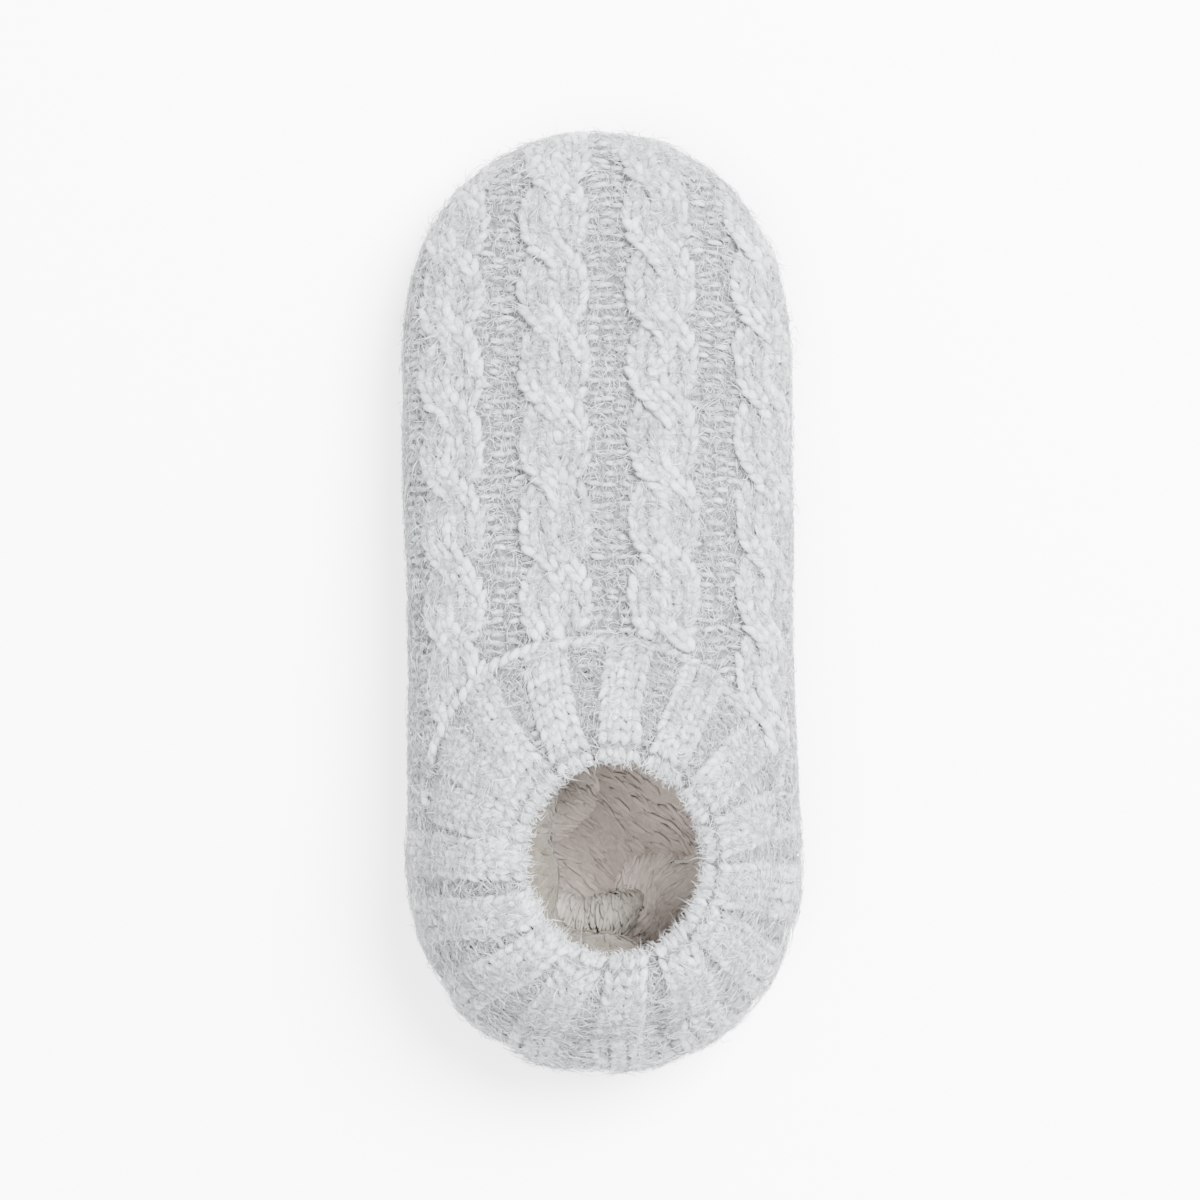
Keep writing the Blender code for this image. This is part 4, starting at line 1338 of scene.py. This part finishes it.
def make_footbed():
    """Plush pad on the sole, crowned and clumped on top. Returns the points of its top."""
    inset = KNIT_WALL + INSOLE_CLEARANCE
    seen_to = RIM_CENTRE[1] + SEEN_RADIUS
    places = np.concatenate([
        cap_places(HEEL_CAP_START, outline_end(FOOT_RATIO, inset, False) + 0.05, 80)[::-1],
        np.linspace(HEEL_CAP_START, seen_to, 70)[1:-1],
        np.linspace(seen_to, TOE_CAP_START, 40)[:-1],
        cap_places(TOE_CAP_START, outline_end(FOOT_RATIO, inset, True) - 0.05, 20),
    ])
    half = outline(places, FOOT_RATIO, inset)
    bottom = (sole_top(places) + GAP)[:, None]
    spread = np.linspace(-1.0, 1.0, FOOTBED_COLUMNS)
    rim_fall = (1 - np.abs(spread) ** 6) ** 0.5
    tip_fall = smooth_step(half, 0.0, 12.0)[:, None]
    swell = INSOLE_THICKNESS + BED_SWELL * tip_fall * rim_fall
    top = np.empty((len(places), FOOTBED_COLUMNS, 3))
    top[..., 0] = half[:, None] * spread
    top[..., 1] = places[:, None]
    top[..., 2] = bottom + BED_EDGE + (swell - BED_EDGE) * rim_fall
    waves = pile_waves(top, PILE_DIRECTION)
    top[..., 2] += BED_CLUMPS * (waves - 0.4) * rim_fall * tip_fall
    under = top[:, ::-10].copy()
    under[..., 2] = bottom
    loop = np.concatenate([top, under], axis=1)
    rows, columns = loop.shape[:2]
    tone = np.full((rows, columns), BED_UNDER_TONE)
    # The footbed's painted shade gives way to the pile's own lighter colour far in towards the toe
    far_in = smooth_step(places, RIM_CENTRE[1] + RIM_HALF_LENGTH, RIM_CENTRE[1] + 3 * RIM_HALF_LENGTH)
    # painted shade: darker in the hollows between the clumps
    tone[:, :FOOTBED_COLUMNS] = tone_of(BED_CLUMP_SHADE, waves) + BED_FAR_IN_TONE * far_in[:, None]
    faces = with_ends(grid_faces(rows, columns, closed_columns=True), rows, columns)
    piece = new_piece("footbed", loop, faces, "plush_bed", tone)
    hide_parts("insole")
    return top


def make_footbed_pile(top):
    """Pile of the footbed where the opening shows it."""
    normals = facing(grid_normals(top), UP)
    off_centre = np.hypot(top[..., 0] - RIM_CENTRE[0], top[..., 1] - RIM_CENTRE[1])
    roots, normals, _ = surface_seeds(top, normals, BED_LOCKS, (off_centre < SEEN_RADIUS).astype(float))
    swirl = waver(roots, *BED_FLOW_WAVER) - 0.9 * (roots[:, 0] - RIM_CENTRE[0])
    flow = turned(np.array([*PILE_DIRECTION, 0.0]), normals, swirl[:, None])
    make_pile("footbed_pile", roots, normals, flow, "plush_bed")


def smooth_loop(loop, steps):
    """A closed row of points a spoke, on a smooth curve through the points given."""
    before, after, later = (np.roll(loop, shift, axis=1) for shift in (1, -1, -2))
    square = 2 * before - 5 * loop + 4 * after - later
    cube = 3 * loop - before - 3 * after + later
    rows = []
    for share in np.arange(steps) / steps:
        rows.append(0.5 * (2 * loop + (after - before) * share + square * share**2 + cube * share**3))
    return np.stack(rows, axis=2).reshape(len(loop), -1, 3)


def lip_shade(column):
    """Painted shade: how much darker the lining is towards its lower edge, deeper in the slipper."""
    return LIP_SHADE * smooth_step(column, LINING_STEPS, 2.6 * LINING_STEPS)


def make_lip(cuff):
    """Plush ring under the rim, which stands in at the left and at the heel. Returns points and normals."""
    angles = cuff.angles[:-1]
    reach, depth = (
        from_table(LINING, LINING_COLUMNS, name, np.degrees(angles))[:, None] for name in ("reach", "depth")
    )
    rim = rim_point(angles)
    reach = reach + np.clip(reach, 0.0, 4.0) / 4.0 * waver(rim, *LIP_WAVER)[:, None]
    inward = to_opening(rim)
    underside = cuff.inside()[:-1] - UP * GAP
    near, far = underside[:, -1], underside[:, round(LINING_TOP_ROW * (CUFF_ROWS - 1))]
    top_inner, top_outer = (near + (far - near) * share for share in LINING_TOP)
    below_cuff = rim - UP * (CUFF_WALL + 2 * GAP)
    hanging = [
        below_cuff + inward * (reach * reach_share + further_in) - UP * depth * depth_share
        for reach_share, further_in, depth_share in LINING_SECTION
    ]
    outside = (hanging[-1] + top_outer) / 2
    grid = smooth_loop(np.stack([top_inner, *hanging, outside, top_outer], axis=1), LINING_STEPS)
    normals = facing(ring_normals(grid), grid - grid.mean(axis=1, keepdims=True))
    waves = pile_waves(grid, (0.2, 1.0))
    grid = grid + normals * (LIP_CLUMPS * (waves - 0.5))[..., None]
    # painted shade: darker in the clumps' hollows and towards the lower edge
    tone = tone_of(PLUSH_CLUMP_SHADE, waves) - lip_shade(np.arange(grid.shape[1]))
    piece = new_piece("lining_lip", grid, ring_faces(grid), "plush_lip", tone)
    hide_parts("lining")
    return grid, normals


def make_lip_pile(grid, normals):
    """Pile of the lining's inner side, brushed down and in."""
    keep = np.zeros(grid.shape[:2])
    keep[:, : 5 * LINING_STEPS] = 1.0
    columns = np.broadcast_to(np.arange(grid.shape[1])[:, None], (*grid.shape[:2], 1))
    roots, normals, _, columns = surface_seeds(grid, normals, LIP_LOCKS, keep, columns)
    down_and_in = unit(to_opening(roots) - UP * 0.8)
    flow = turned(down_and_in, normals, waver(roots, *LIP_FLOW_WAVER)[:, None])
    make_pile("lip_pile", roots, normals, flow, "plush_lip", lip_shade(columns[:, 0]))


def make_foot_lining():
    """Plush inside the foot."""
    inset = KNIT_WALL + LINING_CLEARANCE
    places = outline_places(1.0, inset, *LINING_ROWS)
    places[[0, -1]] += (LINING_END, -LINING_END)
    grid = section_grid(places, inset, LINING_GRID)
    normals = facing(grid_normals(grid), grid - UP * MIDDLE_HEIGHT)
    grid = grid - normals * (1.0 + 1.2 * pile_waves(grid, PILE_DIRECTION))[..., None]
    above = grid[..., 2] > last("widest_level", places)[:, None]
    share = np.where(above, top_line_share(grid), 2.0).ravel()
    faces = grid_faces(*grid.shape[:2])
    used, faces = only_used(faces[(share[faces] > 0.97).all(axis=1)])
    points = grid.reshape(-1, 3)[used]
    # painted shade: darker in the hollows between the clumps
    tone = tone_of(LINING_CLUMP_SHADE, pile_waves(points, PILE_DIRECTION))
    piece = new_piece("lining_foot", points, faces, "plush_inside", tone)
    thicken(piece, LINING_WALL, 0.0)


def make_cuff_lining():
    """Plush under the cuff."""
    angles = np.linspace(0.0, 2 * math.pi, CUFF_LINING_SPOKES, endpoint=False)
    ground = cuff_ground(angles, np.linspace(*CUFF_LINING_SHARES))
    normals = facing(ring_normals(ground), UP)
    waves = pile_waves(ground, (0.3, 0.9))
    depth = CUFF_WALL + 0.6 + 1.3 * waves
    inner = ground - normals * (depth + 1.6)[..., None]
    outer = ground - normals * (CUFF_WALL + LINING_CLEARANCE)
    loop = np.concatenate([outer, inner[:, ::-1]], axis=1)
    outer_tone = np.full(waves.shape, LINING_OUTER_TONE)
    # painted shade: darker in the hollows between the clumps
    tone = np.concatenate([outer_tone, tone_of(LINING_CLUMP_SHADE, waves[:, ::-1])], axis=1)
    new_piece("lining_cuff", loop, ring_faces(loop), "plush_inside", tone)


def fold_shade(normals):
    """Painted shade: how much darker a fold is on its steep sides."""
    return FOLD_SHADE * smooth_step(normals[..., 2], 0.85, 0.3)


def make_fold(name, fold):
    """Soft lumpy fold of the lining on the footbed, with its pile."""
    rows, columns = FOLD_POINTS
    turn = np.linspace(0.0, 2 * math.pi, rows, endpoint=False)[:, None]
    tilt = np.linspace(-0.49 * math.pi, 0.49 * math.pi, columns)[None]
    sides = (np.cos(turn) * np.cos(tilt), np.sin(turn) * np.cos(tilt), np.sin(tilt))
    ball = np.stack(np.broadcast_arrays(*sides), axis=-1)
    normals = unit(ball / fold.half_sizes)
    grid = np.array(fold.middle) + ball * fold.half_sizes
    grid[..., 1] += fold.bend * ball[..., 0] ** 2
    waves = pile_waves(grid, (0.9, -0.3))
    grid = grid + normals * (FOLD_CLUMPS * (waves - 0.5) + waver(grid, *FOLD_WAVER))[..., None]
    grid[..., 2] = np.maximum(grid[..., 2], FOLD_BOTTOM)
    faces = grid_faces(rows, columns, closed_rows=True)[:, ::-1].tolist()
    faces.append([row * columns for row in range(rows)])
    faces.append([row * columns + columns - 1 for row in range(rows)][::-1])
    # painted shade: darker in the clumps' hollows and on the steep sides
    tone = tone_of(PLUSH_CLUMP_SHADE, waves) - fold_shade(normals)
    new_piece(name, grid, faces, fold.material, tone)
    upper = (normals[..., 2] > -0.2).astype(float)
    roots, normals, _ = surface_seeds(grid, normals, FOLD_LOCKS, upper)
    flow = turned(np.array([*fold.flow, 0.0]), normals, waver(roots, *FOLD_FLOW_WAVER)[:, None])
    shade = fold_shade(normals)
    make_pile(name + "_pile", roots, normals, flow, fold.material, shade, FOLD_LOCK, FOLD_SAG)


# Hairs of the brushed yarn
def three_sided_ring(middle, normals, directions, widths):
    """Three points round the middle of each hair."""
    across = np.cross(normals, directions)
    turns = (2 * math.pi * index / 3 for index in range(3))
    rings = (across * math.cos(turn) + normals * math.sin(turn) for turn in turns)
    return np.stack([middle + ring * (widths / 2)[:, None] for ring in rings], axis=1)


def needles(roots, normals, directions, lengths, lifts, widths):
    """Points and faces of straight hairs that lean off the surface."""
    tips = roots + directions * lengths[:, None] + normals * lifts[:, None]
    points = np.concatenate([three_sided_ring(roots, normals, directions, widths), tips[:, None]], axis=1)
    return points, ((0, 2, 1), (0, 1, 3), (1, 2, 3), (2, 0, 3))


def curved_hairs(roots, normals, directions, lengths, lifts, widths):
    """Points and faces of hairs with a bend in the middle, thin at both ends."""
    count = len(roots)
    across = np.cross(normals, directions)
    sway = across * (lengths * random.normal(0.0, 0.16, count))[:, None]
    middle = roots + directions * (lengths * 0.5)[:, None] + normals * lifts[:, None] + sway
    droop = random.uniform(-0.2, 1.1, count) * lifts
    ends = roots + directions * lengths[:, None] + normals * droop[:, None]
    ring = three_sided_ring(middle, normals, directions, widths)
    points = np.concatenate([roots[:, None], ring, ends[:, None]], axis=1)
    return points, ((0, 2, 1), (0, 3, 2), (0, 1, 3), (1, 2, 4), (2, 3, 4), (3, 1, 4))


# Kinds of hair: how many, ranges of length, lift, width and tone, and how far they turn from the flow
Hair = namedtuple("Hair", "shape count length lift width tones scatter both_ways")
SHORT_ON_FOOT = Hair(needles, 20000, (1.5, 4.5), (0.3, 1.6), (0.16, 0.26), (0.0, 1.0), 70.0, True)
LONG_ON_FOOT = Hair(curved_hairs, 10000, (4.0, 10.0), (0.3, 1.8), (0.15, 0.28), (0.2, 1.0), 60.0, True)
SHORT_ON_CUFF = Hair(needles, 15000, (1.5, 4.5), (0.3, 1.7), (0.16, 0.26), (0.0, 1.0), 60.0, True)
LONG_ON_CUFF = Hair(curved_hairs, 4500, (4.0, 10.0), (0.3, 1.7), (0.15, 0.28), (0.0, 1.0), 60.0, True)
ON_RIM = Hair(curved_hairs, 1100, (2.0, 5.5), (0.6, 2.4), (0.12, 0.2), (0.4, 1.0), 45.0, False)


def make_fuzz(name, hair, grid, outward, keep, towards=None):
    """Hairs of one kind over a surface, as one piece, flatter where the surface is steep."""
    roots, normals, flow = surface_seeds(grid, outward, hair.count, keep)
    if towards is not None:
        flow = unit(towards - roots)
    flow = along_surface(flow, normals)
    turn = random.normal(0.0, hair.scatter, hair.count)
    turn = turn + 180.0 * random.integers(0, 2, hair.count) * hair.both_ways
    directions = turned(flow, normals, turn[:, None])
    lengths = random.uniform(*hair.length, hair.count)
    lifts = random.uniform(*hair.lift, hair.count) * (0.35 + 0.65 * np.clip(normals[:, 2], 0.0, 1.0))
    widths = random.uniform(*hair.width, hair.count)
    points, faces = hair.shape(roots, normals, directions, lengths, lifts, widths)
    points = points[points[:, :, 2].min(axis=1) > FLOOR_CLEARANCE]
    count, corners = points.shape[:2]
    tone = np.repeat(random.uniform(*hair.tones, count), corners)
    new_piece(name, points, repeated_faces(faces, count, corners), "knit_hair", tone)


def make_foot_hairs(foot):
    """Hairs all over the foot, most on the cables and fewest in the valleys of the heel."""
    on_heel_rib = heel_rib_share(foot.ground)
    lift = np.maximum(HAIR_LIFT * np.clip(foot.relief, 0.0, 1.0), HEEL_HAIR_LIFT * on_heel_rib)
    surface = foot.raised(HAIR_SINK) + foot.normals * lift[..., None]
    outside_cuff = ((top_line_share(foot.ground) > 1.0) | ~foot.above).astype(float)
    fuzzy = 0.8 + 0.5 * np.clip(foot.relief / STRAND_RISE, 0.0, 1.0)
    fuzzy = outside_cuff * (fuzzy + (0.2 + 0.5 * on_heel_rib - fuzzy) * behind(foot.ground))
    make_fuzz("fuzz_foot_a", SHORT_ON_FOOT, surface, foot.normals, fuzzy)
    make_fuzz("fuzz_foot_b", SHORT_ON_FOOT, surface, foot.normals, fuzzy)
    make_fuzz("long_hairs_foot", LONG_ON_FOOT, surface, foot.normals, fuzzy)


def make_cuff_hairs(cuff):
    """Hairs on the cuff, fewest on the ribs at its front, and on its rim, all along the ribs."""
    opening = np.array([*RIM_CENTRE, RIM_HEIGHT])
    surface = cuff.raised(HAIR_SINK) + cuff.normals * HAIR_LIFT * np.clip(cuff.ribs, 0.0, 1.0)[..., None]
    at_front = smooth_step(np.sin(cuff.angles), 0.4, 0.85)[:, None]
    fuzzy = 1.1 - (0.3 + 0.4 * at_front) * np.clip(cuff.ribs / 2.0, 0.0, 1.0)
    make_fuzz("fuzz_cuff", SHORT_ON_CUFF, surface, cuff.normals, fuzzy, opening)
    make_fuzz("long_hairs_cuff", LONG_ON_CUFF, surface, cuff.normals, fuzzy, opening)
    rim, outward = cuff.rim_roll(RIM_HAIR_SINK, np.linspace(0.0, 0.45, 6) * math.pi)
    make_fuzz("rim_hairs", ON_RIM, rim, outward, np.ones(rim.shape[:2]), opening)


# Floor, light and camera
def make_floor():
    mesh = bpy.data.meshes.new("floor")
    corners = [(x * FLOOR_HALF, y * FLOOR_HALF, 0.0) for x, y in ((-1, -1), (1, -1), (1, 1), (-1, 1))]
    mesh.from_pydata(corners, [], [(0, 1, 2, 3)])
    material = bpy.data.materials.new("floor_paint")
    material.use_nodes = True
    shader = material.node_tree.nodes["Principled BSDF"]
    shader.inputs["Base Color"].default_value = FLOOR_COLOUR
    shader.inputs["Roughness"].default_value = FLOOR_ROUGHNESS
    mesh.materials.append(material)
    floor = bpy.data.objects.new("floor", mesh)
    bpy.context.scene.collection.objects.link(floor)


def make_light(name, place, power):
    data = bpy.data.lights.new(name, "AREA")
    data.shape = "DISK"
    data.size = LIGHT_SIZE
    data.energy = power
    light = bpy.data.objects.new(name, data)
    light.location = place
    light.rotation_euler = (-Vector(place)).to_track_quat("-Z", "Y").to_euler()
    bpy.context.scene.collection.objects.link(light)


def make_world():
    world = bpy.data.worlds.new("studio")
    world.use_nodes = True
    background = world.node_tree.nodes["Background"]
    background.inputs["Color"].default_value = (1.0, 1.0, 1.0, 1.0)
    background.inputs["Strength"].default_value = WORLD_STRENGTH
    bpy.context.scene.world = world


def make_camera():
    """Straight above, a little to the right as in the photograph, with the toe up."""
    data = bpy.data.cameras.new("camera")
    data.lens = CAMERA_LENS
    data.sensor_width = CAMERA_SENSOR
    camera = bpy.data.objects.new("camera", data)
    place = Vector(CAMERA_PLACE)
    look = (Vector(CAMERA_TARGET) - place).normalized()
    roll = math.radians(CAMERA_ROLL)
    right = look.cross(Vector((math.sin(roll), math.cos(roll), 0.0))).normalized()
    up = right.cross(look)
    camera.matrix_world = Matrix.Translation(place) @ Matrix((right, up, -look)).transposed().to_4x4()
    bpy.context.scene.collection.objects.link(camera)
    bpy.context.scene.camera = camera


# The slipper
foot = Foot()
foot_surface = foot.raised(FOOT_STITCH_SINK)
cuff = Cuff()
cuff_surface = cuff.raised(CUFF_STITCH_SINK)
make_foot(foot)
make_cuff(cuff)

cable_stitches = Stitches(CABLE_JITTER)
add_cables(foot, foot_surface, cable_stitches)
cable_stitches.piece("cable_stitches", "knit_yarn")
purl_stitches = Stitches(PURL_JITTER)
add_purl_ground(foot, foot_surface, purl_stitches)
add_band(purl_stitches)
purl_stitches.piece("purl_stitches", "knit_yarn")
rib_stitches = Stitches(RIB_JITTER)
add_cuff_stitches(cuff, cuff_surface, Skirt(), rib_stitches)
add_rim_stitches(cuff, rib_stitches)
rib_stitches.piece("rib_stitches", "knit_yarn")
seam_stitches = Stitches(SEAM_JITTER)
add_seam(cuff, cuff_surface, seam_stitches)
seam_stitches.piece("seam_cord", "knit_yarn")

make_sole()
footbed_top = make_footbed()
lip_grid, lip_normals = make_lip(cuff)
make_foot_lining()
make_cuff_lining()
make_footbed_pile(footbed_top)
make_lip_pile(lip_grid, lip_normals)
for fold_name, fold in FOLDS.items():
    make_fold(fold_name, fold)
make_foot_hairs(foot)
make_cuff_hairs(cuff)

# The studio
make_floor()
for light_name, (light_place, light_power) in LIGHTS.items():
    make_light(light_name, light_place, light_power)
make_world()
make_camera()
